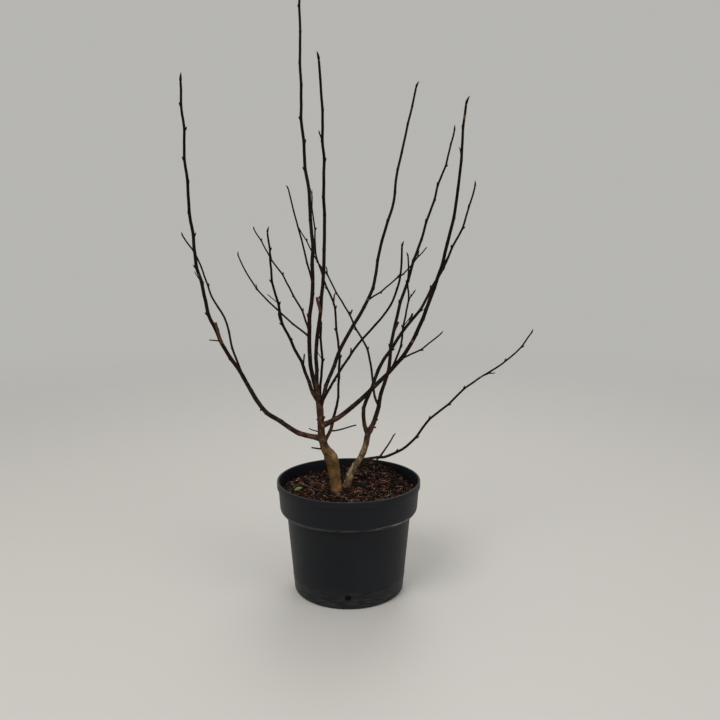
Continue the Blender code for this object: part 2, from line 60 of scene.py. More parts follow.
bpy.ops.object.camera_add(location=CAMERA_PLACE, rotation=(math.radians(90 - CAMERA_PITCH), 0, 0))
camera = bpy.context.object
camera.data.lens = CAMERA_LENS
camera.data.sensor_width = CAMERA_SENSOR
bpy.context.scene.camera = camera
bpy.context.scene.view_settings.view_transform = "Standard"


# The studio: a pale floor that fades into the even grey surround without an edge, and three wide soft
# lights, of which the strongest hangs over the front left.
FLOOR_RADIUS = 6.0
FLOOR_FADE = (0.6, 2.4)
FLOOR_COLOUR = (0.6, 0.58, 0.55)
SURROUND_COLOUR = (0.5, 0.495, 0.475)
SURROUND_STRENGTH = 0.94
LIGHTS = (
    ("key", (-0.9, -1.3, 1.9), 1.1, 24.0),
    ("fill", (1.5, -1.2, 1.2), 1.3, 9.0),
    ("back", (0.3, 1.6, 1.8), 1.3, 11.0),
)
LIGHTS_AIM = Vector((0, 0, 0.25))


def placed_mesh(name):
    """The primitive that was just added, under its own name, with its place moved into its mesh."""
    made = bpy.context.object
    made.name = made.data.name = name
    bpy.ops.object.transform_apply(location=True, rotation=True, scale=True)
    return made


class Value:
    """A socket of a material. Arithmetic on it adds Math nodes to its tree."""

    def __init__(self, tree, socket):
        self.tree = tree
        self.socket = socket

    def math(self, operation, *others):
        node = self.tree.nodes.new("ShaderNodeMath")
        node.operation = operation
        for place, value in zip(node.inputs, (self, *others)):
            plug(self.tree, place, value)
        return Value(self.tree, node.outputs[0])

    def __add__(self, other):
        return self.math("ADD", other)

    def __rsub__(self, other):
        return (self * -1) + other

    def __mul__(self, other):
        return self.math("MULTIPLY", other)

    __radd__ = __add__
    __rmul__ = __mul__


def plug(tree, place, value):
    """Gives a node's socket a value, or a link where the value is another node's socket."""
    if isinstance(value, Value):
        tree.links.new(value.socket, place)
    else:
        place.default_value = (*value, 1) if place.type == "RGBA" else value


def shaded(colour, share):
    """The same colour, darker."""
    return tuple(part * share for part in colour)


class Finish:
    """A material of this plant: its nodes are added one after the other and end in the surface shader."""

    def __init__(self, name, shine=0.5):
        self.material = bpy.data.materials.new(name)
        self.material.use_nodes = True
        self.tree = self.material.node_tree
        self.shader = self.tree.nodes["Principled BSDF"]
        self.shader.inputs["Specular IOR Level"].default_value = shine
        self.place = self.node("ShaderNodeTexCoord", {}, {}, "Object")

    def node(self, kind, settings, sockets, output=0):
        """Adds one node: its settings first, then its sockets' values or links."""
        made = self.tree.nodes.new(kind)
        for key, setting in settings.items():
            setattr(made, key, setting)
        for key, value in sockets.items():
            plug(self.tree, made.inputs[key], value)
        return Value(self.tree, made.outputs[output])

    def stretched(self, scale):
        """The piece's own place, scaled, so that a pattern on it is stretched."""
        return self.node("ShaderNodeMapping", {}, {"Vector": self.place, "Scale": scale})

    def noise(self, scale, detail=3.0, roughness=0.5, place=None):
        sockets = {"Vector": place or self.place, "Scale": scale, "Detail": detail, "Roughness": roughness}
        return self.node("ShaderNodeTexNoise", {}, sockets)

    def step(self, value, low, high):
        """0 below low and 1 above high, with a smooth step between."""
        settings = {"interpolation_type": "SMOOTHSTEP"}
        sockets = {"Value": value, "From Min": low, "From Max": high}
        return self.node("ShaderNodeMapRange", settings, sockets)

    def mix(self, share, first, second):
        """A colour between two, or a colour of another kind where `share` says so."""
        return self.node("ShaderNodeMix", {"data_type": "RGBA"}, {0: share, 6: first, 7: second}, 2)

    def age(self):
        """How old the bark is, as the shape's corners say."""
        return self.node("ShaderNodeAttribute", {"attribute_name": "age"}, {}, "Fac")

    def distance(self, place):
        """How far the surface is from a place on the piece."""
        sockets = {0: self.place, 1: place}
        return self.node("ShaderNodeVectorMath", {"operation": "DISTANCE"}, sockets, "Value")

    def ends(self, colour, roughness, height=None, strength=0.5, distance=0.0005):
        """Joins the colour, the roughness and the fine relief to the surface shader."""
        plug(self.tree, self.shader.inputs["Base Color"], colour)
        plug(self.tree, self.shader.inputs["Roughness"], roughness)
        if height:
            sockets = {"Height": height, "Strength": strength, "Distance": distance}
            bump = self.node("ShaderNodeBump", {}, sockets)
            plug(self.tree, self.shader.inputs["Normal"], bump)
        return self.material


bpy.ops.object.select_all(action="DESELECT")
bpy.ops.mesh.primitive_circle_add(vertices=96, radius=FLOOR_RADIUS, fill_type="NGON")
floor = placed_mesh("floor")
floor_finish = Finish("pale floor")
away = floor_finish.step(floor_finish.distance((0, 0, 0)), *FLOOR_FADE)
plug(floor_finish.tree, floor_finish.shader.inputs["Alpha"], 1 - away)
floor.data.materials.append(floor_finish.ends(FLOOR_COLOUR, 0.55))

surround = bpy.data.worlds.new("surround")
surround.use_nodes = True
surround.node_tree.nodes["Background"].inputs["Color"].default_value = (*SURROUND_COLOUR, 1)
surround.node_tree.nodes["Background"].inputs["Strength"].default_value = SURROUND_STRENGTH
bpy.context.scene.world = surround

for name, place, size, power in LIGHTS:
    turn = (LIGHTS_AIM - Vector(place)).to_track_quat("-Z", "Y").to_euler()
    bpy.ops.object.light_add(type="AREA", location=place, rotation=turn)
    light = bpy.context.object
    light.name = name
    light.data.size = size
    light.data.energy = power


# The pot: a thin black cup, injection moulded in one piece, with a wide band and a rolled lip at the top.
# Its profile is turned ring by ring, up the outside, over the lip and down the inside, and the drain
# holes are cut last.
POT_SIDES = 128
POT_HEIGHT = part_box("pot")[1].z
LIP_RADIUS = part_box("pot")[1].x
LIP_DEPTH = 0.009
LIP_WIDTH = 0.0027
LIP_EDGE = 0.0007
BAND_TOP_RADIUS = 0.0932
BAND_FOOT_RADIUS = 0.0914
BAND_FOOT_Z = 0.1155
STEP_RADIUS = 0.0824
STEP_Z = 0.1065
BASE_RADIUS = 0.0733
BASE_CORNER = 0.004
POT_WALL = 0.0016
STACK_RIDGE_Z = 0.021
STACK_RIDGE = 0.0003
STACK_RIDGE_SHAPE = ((-0.0008, 0), (-0.0002, STACK_RIDGE), (0.0008, STACK_RIDGE), (0.003, 0))
FLOOR_HOLES = 8
FLOOR_HOLE_RADIUS = 0.005
FLOOR_HOLE_RING = 0.052
SIDE_SLOTS = 4
SIDE_SLOT_RADIUS = 0.004
SIDE_SLOT_Z = 0.017
POT_BLACK = (0.0042, 0.0054, 0.008)
# The paler grey of the flow marks and of the lip, which is worn and also carries a painted highlight on its
# edge
POT_PALE_GREY = (0.0115, 0.0132, 0.0168)
POT_DUST = (0.33, 0.31, 0.28)
POT_SHINE = 0.2
DRILL_SIDES = 32
DRILL_DEPTH = 0.02
POT_SMOOTH = math.radians(35)
# The dust: where its strokes lie on the shoulder, and the heights over which it comes and goes
SCUFFS_Z = 0.1118
SCUFFS_PLACE = (0.058, -0.065, SCUFFS_Z)
SCUFFS_REACH = (0.02, 0.034)
SCUFFS_FROM = (SCUFFS_Z - 0.0022, SCUFFS_Z - 0.0008)
SCUFFS_TO = (SCUFFS_Z + 0.0006, SCUFFS_Z + 0.002)
FOOT_DUST_TO = (0.004, 0.035)
# The lip's top ring, painted paler: partly wear, partly a painted highlight where its edge catches the light
LIP_WORN_AND_LIT_FROM = (POT_HEIGHT - 0.0016, POT_HEIGHT - 0.0004)


def arc(middle, radii, start, end, steps):
    """Places on a quarter ellipse, as (radius, height)."""
    turns = [start + (end - start) * step / steps for step in range(steps + 1)]
    return [(middle[0] + radii[0] * math.cos(turn), middle[1] + radii[1] * math.sin(turn)) for turn in turns]


def pot_side(inset):
    """The pot's side from its base to under its lip, `inset` inside the outer face."""
    right = math.pi / 2
    across_step, down_step = BAND_FOOT_RADIUS - STEP_RADIUS, BAND_FOOT_Z - STEP_Z
    corner = BASE_CORNER - inset
    base = arc((BASE_RADIUS - BASE_CORNER, BASE_CORNER), (corner, corner), -right, 0, 6)
    shoulder = arc((STEP_RADIUS, BAND_FOOT_Z), (across_step - inset, down_step - inset), -right, 0, 10)
    shoulder[0] = (STEP_RADIUS - inset, STEP_Z + inset)
    top = (BAND_TOP_RADIUS - inset, POT_HEIGHT - LIP_DEPTH)
    return [*base, *ridge(base[-1], shoulder[0]), *shoulder, top]


def ridge(low, high):
    """The low ring round the pot's foot on which the pots stop when they are stacked."""
    places = []
    for height, out in STACK_RIDGE_SHAPE:
        z = STACK_RIDGE_Z + height
        share = (z - low[1]) / (high[1] - low[1])
        places.append((low[0] + (high[0] - low[0]) * share + out, z))
    return places


def turned_solid(name, profile):
    """A closed solid, turned ring by ring from the disc under it; the last ring is closed too."""
    bpy.ops.mesh.primitive_circle_add(vertices=POT_SIDES, radius=profile[0][0], fill_type="NGON",
                                      location=(0, 0, profile[0][1]))
    solid = placed_mesh(name)
    bpy.ops.object.mode_set(mode="EDIT")
    for (radius, height), (next_radius, next_height) in zip(profile, profile[1:]):
        bpy.ops.mesh.extrude_region_move(TRANSFORM_OT_translate={"value": (0, 0, next_height - height)})
        share = next_radius / radius
        bpy.ops.transform.resize(value=(share, share, 1), center_override=(0, 0, 0))
    bpy.ops.mesh.select_all(action="SELECT")
    bpy.ops.mesh.normals_make_consistent(inside=False)
    bpy.ops.object.mode_set(mode="OBJECT")
    return solid


def pick(piece):
    """Selects the piece alone, for the next operator."""
    bpy.ops.object.select_all(action="DESELECT")
    piece.select_set(True)
    bpy.context.view_layer.objects.active = piece


def apply_modifier(piece, kind, **settings):
    """Puts one modifier on the piece and applies it."""
    modifier = piece.modifiers.new(kind, kind)
    for key, setting in settings.items():
        setattr(modifier, key, setting)
    pick(piece)
    bpy.ops.object.modifier_apply(modifier=modifier.name)


def drill(solid, radius, middle, turn):
    """Cuts one round hole and leaves no cutter behind."""
    bpy.ops.mesh.primitive_cylinder_add(vertices=DRILL_SIDES, radius=radius, depth=DRILL_DEPTH)
    cutter = bpy.context.object
    cutter.location, cutter.rotation_euler = middle, turn
    apply_modifier(solid, "BOOLEAN", object=cutter)
    bpy.data.objects.remove(cutter)


def hand_over(piece, material, slot, *nodes):
    """Gives a finished piece its material, and puts it on the part's one body; its slot is not used."""
    piece.data.materials.clear()
    piece.data.materials.append(material)
    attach(piece, "root")
    if nodes:
        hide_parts(*nodes)


def pot_finish():
    """Black plastic, satin, with dust on the shoulder and the foot, and a worn lip lightened further by a
    painted highlight.
    """
    pot = Finish("moulded black plastic", POT_SHINE)
    height = pot.node("ShaderNodeSeparateXYZ", {}, {"Vector": pot.place}, "Z")
    flow = pot.noise(9.0, 2.0)
    grain = pot.noise(420.0, 2.0)
    streaks = pot.noise(1.0, 6.0, 0.62, pot.stretched((70, 70, 420)))
    # The dust lies in broken strokes round the shoulder, mostly at the front right
    shoulder = pot.step(height, *SCUFFS_FROM) * (1 - pot.step(height, *SCUFFS_TO))
    front_right = 1 - pot.step(pot.distance(SCUFFS_PLACE), *SCUFFS_REACH)
    scuffs = shoulder * pot.step(streaks, 0.38, 0.54) * (front_right * 0.36 + 0.1)
    foot_dust = (1 - pot.step(height, *FOOT_DUST_TO)) * pot.step(streaks, 0.4, 0.75)
    # The lip's top ring is worn, and is lightened by a painted highlight as well
    lip = pot.step(height, *LIP_WORN_AND_LIT_FROM)
    colour = pot.mix(pot.step(flow, 0.35, 0.75) * 0.45 + lip * 0.4, POT_BLACK, POT_PALE_GREY)
    colour = pot.mix(scuffs + foot_dust * 0.1, colour, POT_DUST)
    rough = 0.4 + flow * 0.14 + scuffs * 0.3
    return pot.ends(colour, rough, grain * 0.4 + streaks * 0.6, 0.12, 0.0003)


outside = pot_side(0)
round_edge = (LIP_EDGE, LIP_EDGE)
lip_out, lip_in = LIP_RADIUS - LIP_EDGE, LIP_RADIUS - LIP_WIDTH + LIP_EDGE
under_lip = arc((lip_out, POT_HEIGHT - LIP_DEPTH + LIP_EDGE), round_edge, -math.pi / 2, 0, 4)
over_lip = arc((lip_out, POT_HEIGHT - LIP_EDGE), round_edge, 0, math.pi / 2, 4)
into_lip = arc((lip_in, POT_HEIGHT - LIP_EDGE), round_edge, math.pi / 2, math.pi, 4)
pot = turned_solid("pot_shell", [*outside, *under_lip, *over_lip, *into_lip, *reversed(pot_side(POT_WALL))])
for number in range(FLOOR_HOLES):
    turn = math.tau * (number + 0.5) / FLOOR_HOLES
    middle = (FLOOR_HOLE_RING * math.cos(turn), FLOOR_HOLE_RING * math.sin(turn), 0)
    drill(pot, FLOOR_HOLE_RADIUS, middle, (0, 0, 0))
for number in range(SIDE_SLOTS):
    turn = math.tau * number / SIDE_SLOTS
    middle = (BASE_RADIUS * math.cos(turn), BASE_RADIUS * math.sin(turn), SIDE_SLOT_Z)
    drill(pot, SIDE_SLOT_RADIUS, middle, (0, math.pi / 2, turn))
pick(pot)
bpy.ops.object.shade_smooth_by_angle(angle=POT_SMOOTH)
hand_over(pot, pot_finish(), "pot_plastic", "pot")


# The soil: a moist mix of bark and coir, level round the stems and banked up against the pot's side at
# the back right. A dark bed with clods fills the pot, as its solid does.
SOIL_LEVEL = 0.134
SOIL_BANK = 0.0145
SOIL_BANK_TURN = math.radians(68)
SOIL_BANK_WIDTH = 0.5
SOIL_BUMPS = 0.0025
SOIL_BUMP_SIZE = 0.016
LEVEL_CENTRE = Vector((-0.01, 0.004))
LEVEL_RADIUS = 0.024
LEVEL_FADE = 0.02
SOIL_GAP = 0.0003
SOIL_RINGS = 56
SOIL_RING_CLOSING = 1.15
CLODS = 0.003
CLOD_SIZE = 0.0052
SOIL_DARK = (0.0055, 0.003, 0.0022)
SOIL_WARM = (0.021, 0.0078, 0.0045)
SOIL_SHINE = 0.1


def soil_lift(x, y):
    """How far the soil stands above its level: the solid's bumps and bank."""
    away = (Vector((x, y)) - LEVEL_CENTRE).length - LEVEL_RADIUS
    rough = max(0.0, min(1.0, away / LEVEL_FADE))
    bumps = noise.noise(Vector((x, y, 0)) / SOIL_BUMP_SIZE) * SOIL_BUMPS
    towards = (x * math.cos(SOIL_BANK_TURN) + y * math.sin(SOIL_BANK_TURN)) / BAND_FOOT_RADIUS
    beside = (y * math.cos(SOIL_BANK_TURN) - x * math.sin(SOIL_BANK_TURN)) / BAND_FOOT_RADIUS
    bank = SOIL_BANK * max(0.0, towards) ** 2 * math.exp(-(beside / SOIL_BANK_WIDTH) ** 2)
    return (bumps + bank) * rough


def soil_height(x, y):
    """The top of the bed, with its clods."""
    return SOIL_LEVEL + soil_lift(x, y) + noise.noise(Vector((x, y, 0)) / CLOD_SIZE) * CLODS


def inner_wall(height):
    """The pot's inner radius at the height of the soil's top."""
    share = (height - BAND_FOOT_Z) / (POT_HEIGHT - LIP_DEPTH - BAND_FOOT_Z)
    return BAND_FOOT_RADIUS + (BAND_TOP_RADIUS - BAND_FOOT_RADIUS) * min(1.0, share) - POT_WALL


def soil_finish():
    """Wet dark humus, warmer where the fibres show."""
    soil = Finish("moist dark soil", SOIL_SHINE)
    lumps = soil.noise(260.0, 5.0, 0.65)
    warm = soil.noise(70.0, 3.0)
    colour = soil.mix(soil.step(lumps + warm * 0.6, 0.55, 1.05), SOIL_DARK, SOIL_WARM)
    return soil.ends(colour, 0.72 + lumps * 0.25, lumps, 0.8, 0.001)


edge = inner_wall(SOIL_LEVEL) - SOIL_GAP
wall = [place for place in pot_side(POT_WALL + SOIL_GAP) if place[1] < SOIL_LEVEL]
rings = [(ring / SOIL_RINGS) ** SOIL_RING_CLOSING for ring in range(SOIL_RINGS)]
top = [(edge * (1 - share), SOIL_LEVEL) for share in rings]
soil = turned_solid("soil_bed", [*wall, *top])
for corner in soil.data.vertices:
    if corner.co.z > SOIL_LEVEL - SOIL_GAP:
        near_wall = corner.co.xy.length / edge
        corner.co.z = soil_height(corner.co.x, corner.co.y)
        if near_wall > 0.999:
            corner.co.xy = corner.co.xy * (inner_wall(corner.co.z) - SOIL_GAP) / corner.co.xy.length
bpy.ops.object.shade_smooth()
hand_over(soil, soil_finish(), "soil_mix", "soil")


# The litter on the soil: chips of bark, and long curled coir fibres, laid flat or on edge over the bed.
# Each colour is a piece of its own, joined from many small closed shapes.
Litter = namedtuple("Litter", "name colour count length width thickness")
CHIPS = (
    Litter("chips_dark", (0.007, 0.003, 0.0021), 1300, (0.003, 0.009), (0.0018, 0.0048), (0.001, 0.0028)),
    Litter("chips_red", (0.08, 0.025, 0.014), 760, (0.0028, 0.0085), (0.0012, 0.0036), (0.0006, 0.0018)),
    Litter("chips_brown", (0.165, 0.07, 0.038), 400, (0.0025, 0.0075), (0.0012, 0.003), (0.0006, 0.0016)),
    Litter("chips_orange", (0.45, 0.18, 0.08), 90, (0.0024, 0.006), (0.001, 0.0024), (0.0005, 0.0012)),
    Litter("chips_pale", (0.5, 0.34, 0.25), 150, (0.002, 0.0062), (0.0008, 0.0024), (0.0004, 0.001)),
)
SLOT_CRUMBS = Litter(
    "slot_crumbs", (0.1, 0.045, 0.028), 26, (0.0016, 0.0042), (0.0008, 0.0022), (0.0006, 0.0014))
SLOT_SPREAD = 0.0026
SLOT_DEPTH = 0.0006
# A fibre's three sizes are its length, its radius and how far it bows
FIBRES = (
    Litter("coir_dark", (0.022, 0.0095, 0.006), 700, (0.006, 0.018), (0.00022, 0.00042), (0.001, 0.004)),
    Litter("coir_red", (0.11, 0.037, 0.02), 600, (0.005, 0.016), (0.00018, 0.00034), (0.001, 0.0045)),
    Litter("coir_tan", (0.46, 0.29, 0.2), 290, (0.007, 0.02), (0.0002, 0.00036), (0.001, 0.0055)),
)
LITTER_SHINE = 0.12
CHIP_KNOCKS = 0.28
CHIP_TILT = 0.8
CHIP_CLEAR = 0.6
FIBRE_STEPS = 5
FIBRE_SIDES = 3
FIBRE_TILT = 0.16
FIBRE_CLEAR = 0.55
FIBRE_LIFT = (0.0002, 0.0018)
FIBRE_ARCH = (-0.0006, 0.0016)


def litter_place(rng, reach):
    """A place on the soil that keeps `reach` clear of the pot's wall."""
    turn = rng.uniform(0, math.tau)
    radius = (inner_wall(SOIL_LEVEL) - reach) * math.sqrt(rng.random())
    x, y = radius * math.cos(turn), radius * math.sin(turn)
    return Vector((x, y, soil_height(x, y)))


def slot_place(rng, reach):
    """A place in the mouth of the left or the right side slot, where the soil shows."""
    x = rng.choice((-1, 1)) * (BASE_RADIUS + rng.uniform(-SLOT_DEPTH, SLOT_DEPTH))
    return Vector((x, rng.uniform(-1, 1) * SLOT_SPREAD, SIDE_SLOT_Z + rng.uniform(-1, 1) * SLOT_SPREAD))


def flat_way(rng, rise):
    """A heading that lies nearly flat on the soil."""
    turn = rng.uniform(0, math.tau)
    return Vector((math.cos(turn), math.sin(turn), rng.uniform(-rise, rise))).normalized()


def chip_shape(sizes, rng, place_of):
    """The corners and faces of one chip of bark."""
    length, width, thickness = sizes
    middle = place_of(rng, length * CHIP_CLEAR) + Vector((0, 0, thickness * rng.uniform(0.1, 0.9)))
    along = flat_way(rng, CHIP_TILT)
    tilts = [rng.uniform(-CHIP_TILT, CHIP_TILT) for _ in range(2)]
    aside = along.cross(Vector((*tilts, 1))).normalized()
    up = along.cross(aside)
    corners = []
    for place in chip_corners:
        knock = [1 + rng.uniform(-CHIP_KNOCKS, CHIP_KNOCKS) for _ in range(3)]
        corners.append(middle + along * place.x * knock[0] * length / 2
                       + aside * place.y * knock[1] * width / 2 + up * place.z * knock[2] * thickness / 2)
    return corners, chip_faces


def fibre_shape(sizes, rng, place_of):
    """The corners and faces of one fibre, a curled three-sided strand."""
    length, radius, curl = sizes
    start = place_of(rng, length * FIBRE_CLEAR) + Vector((0, 0, rng.uniform(*FIBRE_LIFT)))
    along = flat_way(rng, FIBRE_TILT)
    aside = along.cross(Vector((0, 0, 1))).normalized()
    bend = aside * rng.choice((-1, 1)) * curl + Vector((0, 0, rng.uniform(*FIBRE_ARCH)))
    corners = [start - along * length / 2]
    for step in range(FIBRE_STEPS):
        share = (step + 0.5) / FIBRE_STEPS
        middle = start + along * length * (share - 0.5) + bend * 4 * share * (1 - share)
        for number in range(FIBRE_SIDES):
            turn = math.tau * number / FIBRE_SIDES
            corners.append(middle + (aside * math.cos(turn) + Vector((0, 0, math.sin(turn)))) * radius)
    return [*corners, start + along * length / 2], strand_faces(FIBRE_STEPS, FIBRE_SIDES)


def strand_faces(rings, sides):
    """Faces of a closed strand whose corners are one end, then ring after ring, then the other end."""
    faces = []
    last = 1 + rings * sides
    for number in range(sides):
        after = (number + 1) % sides
        faces.append((0, 1 + after, 1 + number))
        faces.append((last, last - sides + number, last - sides + after))
        for ring in range(rings - 1):
            low = 1 + ring * sides
            faces.append((low + number, low + after, low + sides + after, low + sides + number))
    return faces


def linked(name, mesh):
    """The mesh as a piece of its own."""
    piece = bpy.data.objects.new(name, mesh)
    bpy.context.scene.collection.objects.link(piece)
    return piece


def joined_piece(name, shapes):
    """One piece from many small shapes, each given as its corners and faces."""
    corners, faces = [], []
    for more_corners, more_faces in shapes:
        faces += [tuple(len(corners) + number for number in face) for face in more_faces]
        corners += more_corners
    mesh = bpy.data.meshes.new(name)
    mesh.from_pydata(corners, [], faces)
    return linked(name, mesh)


def litter_finish(name, colour):
    """One plain colour, a little uneven from one bit to the next."""
    litter = Finish(name, LITTER_SHINE)
    tint = litter.noise(160.0, 2.0)
    return litter.ends(litter.mix(litter.step(tint, 0.35, 0.65), shaded(colour, 0.32), colour), 0.75)


bpy.ops.mesh.primitive_ico_sphere_add(subdivisions=1, radius=1.0)
chip = bpy.context.object
chip_corners = [corner.co.copy() for corner in chip.data.vertices]
chip_faces = [tuple(face.vertices) for face in chip.data.polygons]
bpy.data.objects.remove(chip)
for kind in (*CHIPS, SLOT_CRUMBS, *FIBRES):
    rng = random.Random(kind.name)
    shape_of = fibre_shape if kind in FIBRES else chip_shape
    place_of = slot_place if kind == SLOT_CRUMBS else litter_place
    shapes = []
    for _ in range(kind.count):
        sizes = [rng.uniform(*span) for span in (kind.length, kind.width, kind.thickness)]
        shapes.append(shape_of(sizes, rng, place_of))
    piece = joined_piece(kind.name, shapes)
    hand_over(piece, litter_finish(kind.name, kind.colour), "soil_mix")


# The stems and boughs: two old stems with a root flare, and the boughs that fork from them. They grow by
# the source's rule, are fused by a voxel remesh so that each fork gets its collar, and then take the
# bark's relief.
NODE_SPACING = 0.031
NODE_SWELLING = {"stem": 0.015, "bough": 0.045, "shoot": 0.1}
NODE_SIDE_SWELLING = {"stem": 0.05, "bough": 0.16, "shoot": 0.3}
NODE_LENGTH = 0.0016
NODE_REACH = 0.003
LEAF_SCAR_DROP = 0.0006
LEAF_SCAR_LENGTH = 0.001
LEAF_SCAR_SWELL = 0.12
LEAF_SCAR_WIDTH = 0.75
ZIGZAG = 0.0013
FIRST_BUD = 0.012
SPUR_SHARE = 0.09
SPUR_LENGTHS = (0.005, 0.01)
SPUR_RADIUS = 0.0008
HANDLE = 0.36
FLARE = 0.22
FLARE_HEIGHT = 0.007
STATION_STEP = 0.0015
NODE_STATIONS = (-0.0024, -0.0015, -0.0008, -0.0003, 0.0, 0.0004, 0.001, 0.0018)
NEAREST_STATIONS = 0.00022
SUNK = 0.004
COLLAR = 0.32
COLLAR_LENGTH = {"bough": 0.006, "shoot": 0.0022}
RING_SCAR = 0.0009
WOOD_VOXEL = 0.0005
WOOD_SIDES = 16
# The bark's relief: its coarse swellings on the old stems, and its fine cracks everywhere
COARSE_WIDTH, COARSE_LENGTH, COARSE_DEPTH = 0.0042, 0.011, 0.0007
FINE_WIDTH, FINE_LENGTH, FINE_DEPTH, FINE_DEPTH_OLD = 0.0014, 0.0048, 0.00006, 0.00016
# How old the bark is from foot to tip: 1 is old and tan, 0.5 reddish brown, and 0 young and nearly black
AGES = {"stem": (1.0, 0.42), "trunk_right": (1.0, 0.66), "bough": (0.54, 0.16), "shoot": (0.3, 0.0)}

OLD_BARKS = {
    "left_wood": ((0.104, 0.057, 0.02), (0.19, 0.107, 0.04)),
    "right_wood": ((0.12, 0.08, 0.042), (0.33, 0.24, 0.14)),
}
RED_BROWNS = ((0.029, 0.014, 0.0077), (0.083, 0.042, 0.023))
YOUNG_DARK = (0.005, 0.0034, 0.0022)
YOUNG_BROWN = (0.024, 0.013, 0.0066)
BARK_CRACK = (0.014, 0.0085, 0.005)
BARK_DOTS = (0.3, 0.21, 0.125)
BARK_SHINE = 0.12
# Where the bark is grazed, scarred or cut, and one painted highlight: the place, how far it reaches, and the
# colour there
WOUNDS_AND_HIGHLIGHT = (
    ((-0.0101, -0.0074, 0.1469), 0.005, (0.38, 0.175, 0.058)),
    ((-0.0114, -0.0112, 0.1427), 0.0054, (0.42, 0.18, 0.055)),
    ((-0.0166, -0.0138, 0.1388), 0.0044, (0.3, 0.125, 0.036)),
    # A painted highlight: a tan patch where the overhead light falls on the upper right of the left stem's
    # bulge
    ((-0.018, -0.0125, 0.186), 0.007, (0.25, 0.165, 0.082)),
    ((-0.0229, -0.0154, 0.1747), 0.0018, (0.22, 0.135, 0.064)),
    ((-0.0326, -0.0117, 0.2255), 0.004, (0.17, 0.098, 0.052)),
    ((-0.0014, 0.0117, 0.1517), 0.0032, (0.62, 0.5, 0.36)),
    ((0.0005, 0.0097, 0.1483), 0.0026, (0.4, 0.17, 0.055)),
)

# A limb leaves `on` at the share `at` of its length, heads along `leaves`, passes the places `by`,
# and ends at `tip`, heading along `arrives`. `girth` is its diameter from foot to tip, at even steps.
# A stem has no `on`, and its `at` is its foot's x and y on the soil.
Limb = namedtuple("Limb", "on at leaves by tip arrives girth")

STEMS = {
    "trunk_left": Limb(
        None, (-0.016, -0.006), (-1, 0, 12),
        ((-0.0206, -0.007, 0.17), (-0.0248, -0.0072, 0.1845), (-0.0289, -0.0074, 0.1912),
         (-0.032, -0.0077, 0.1985), (-0.035, -0.008, 0.209)),
        (-0.039, -0.01, 0.264), (-1, 0, 6),
        (0.013, 0.0138, 0.0145, 0.0154, 0.0168, 0.0184, 0.0138, 0.0112,
         0.0104, 0.0096, 0.009, 0.0088, 0.0094, 0.0094, 0.009)),
    "trunk_right": Limb(
        None, (-0.003, 0.014), (3, 0, 9),
        ((0.002, 0.0142, 0.15), (0.0062, 0.015, 0.1597), (0.0193, 0.018, 0.1797)),
        (0.026, 0.02, 0.208), (2, 1, 9), (0.0096, 0.0093, 0.0082, 0.0081, 0.0084, 0.0082)),
}

BOUGHS = {
    "bough_far_left": Limb(
        "trunk_left", 0.575, (-8, -1, 1), ((-0.101, -0.019, 0.242),),
        (-0.134, -0.03, 0.296), (-5, -1, 10), (0.0068, 0.0052)),
    "bough_right": Limb(
        "trunk_left", 0.7, (9, -3, 4), (),
        (0.049, -0.025, 0.295), (9, -3, 9), (0.0066, 0.0054)),
    "bough_back": Limb(
        "trunk_left", 0.53, (5, 6, 5), (),
        (-0.013, 0.025, 0.284), (1, 3, 12), (0.0047, 0.0043, 0.0033, 0.0034)),
    "bough_inner_right": Limb(
        "trunk_left", 0.89, (4, 5, 10), (),
        (-0.01, 0.01, 0.324), (5, 3, 10), (0.0053, 0.0049)),
    "bough_left": Limb(
        "trunk_left", 0.94, (-7, -3, 9), (),
        (-0.059, -0.024, 0.312), (-3, -3, 10), (0.005, 0.0042)),
    "bough_second": Limb(
        "trunk_left", 0.96, (-1, -7, 10), (),
        (-0.04, -0.022, 0.333), (1, -1, 12), (0.0052, 0.0049)),
    "bough_leader": Limb(
        "trunk_left", 1.0, (-4, 0, 12), (),
        (-0.05, -0.008, 0.337), (0, 0, 1), (0.0058, 0.0053)),
    "bough_outer_right": Limb(
        "trunk_right", 0.97, (-5, -1, 10), (),
        (0.04, 0.015, 0.296), (5, 0, 14), (0.0053, 0.0048)),
    "bough_right_back": Limb(
        "trunk_right", 1.0, (8, 3, 10), (),
        (0.046, 0.036, 0.266), (4, 3, 10), (0.0066, 0.0052)),
    "bough_crossing": Limb(
        "bough_right_back", 0.62, (-5, 4, 8), (),
        (0.031, 0.046, 0.286), (-1, 4, 10), (0.0032, 0.0031)),
    "bough_low_right": Limb(
        "trunk_right", 0.51, (8, 4, -1), (),
        (0.0402, 0.029, 0.1706), (9, 2, 0), (0.0038, 0.0036)),
}

WOOD = {**STEMS, **BOUGHS}

# Dead snags, each on the limb that it is named after
SNAGS = {
    "trunk_left": (
        Limb("trunk_left", 0.45, (-10, -4, 2), (), (-0.05, -0.012, 0.196), (-10, -2, 2), (0.0026, 0.0018)),
        Limb("trunk_left", 0.63, (-10, 2, 4), (), (-0.052, -0.005, 0.22), (-8, 1, 5), (0.002, 0.0012)),
    ),
    "bough_back": (
        Limb("bough_back", 0.2, (10, 1, 0), (), (0.01, 0.016, 0.219), (10, 1, 2), (0.0022, 0.0018)),
    ),
    "trunk_right": (
        Limb("trunk_right", 0.2, (-1, -8, 9), (), (0.0056, 0.0085, 0.1685), (1, 0, 9), (0.0024, 0.0012)),
    ),
    "bough_left": (
        Limb("bough_left", 0.88, (1, -6, 9), (), (-0.055, -0.029, 0.322), (1, -4, 9), (0.0022, 0.0018)),
    ),
}

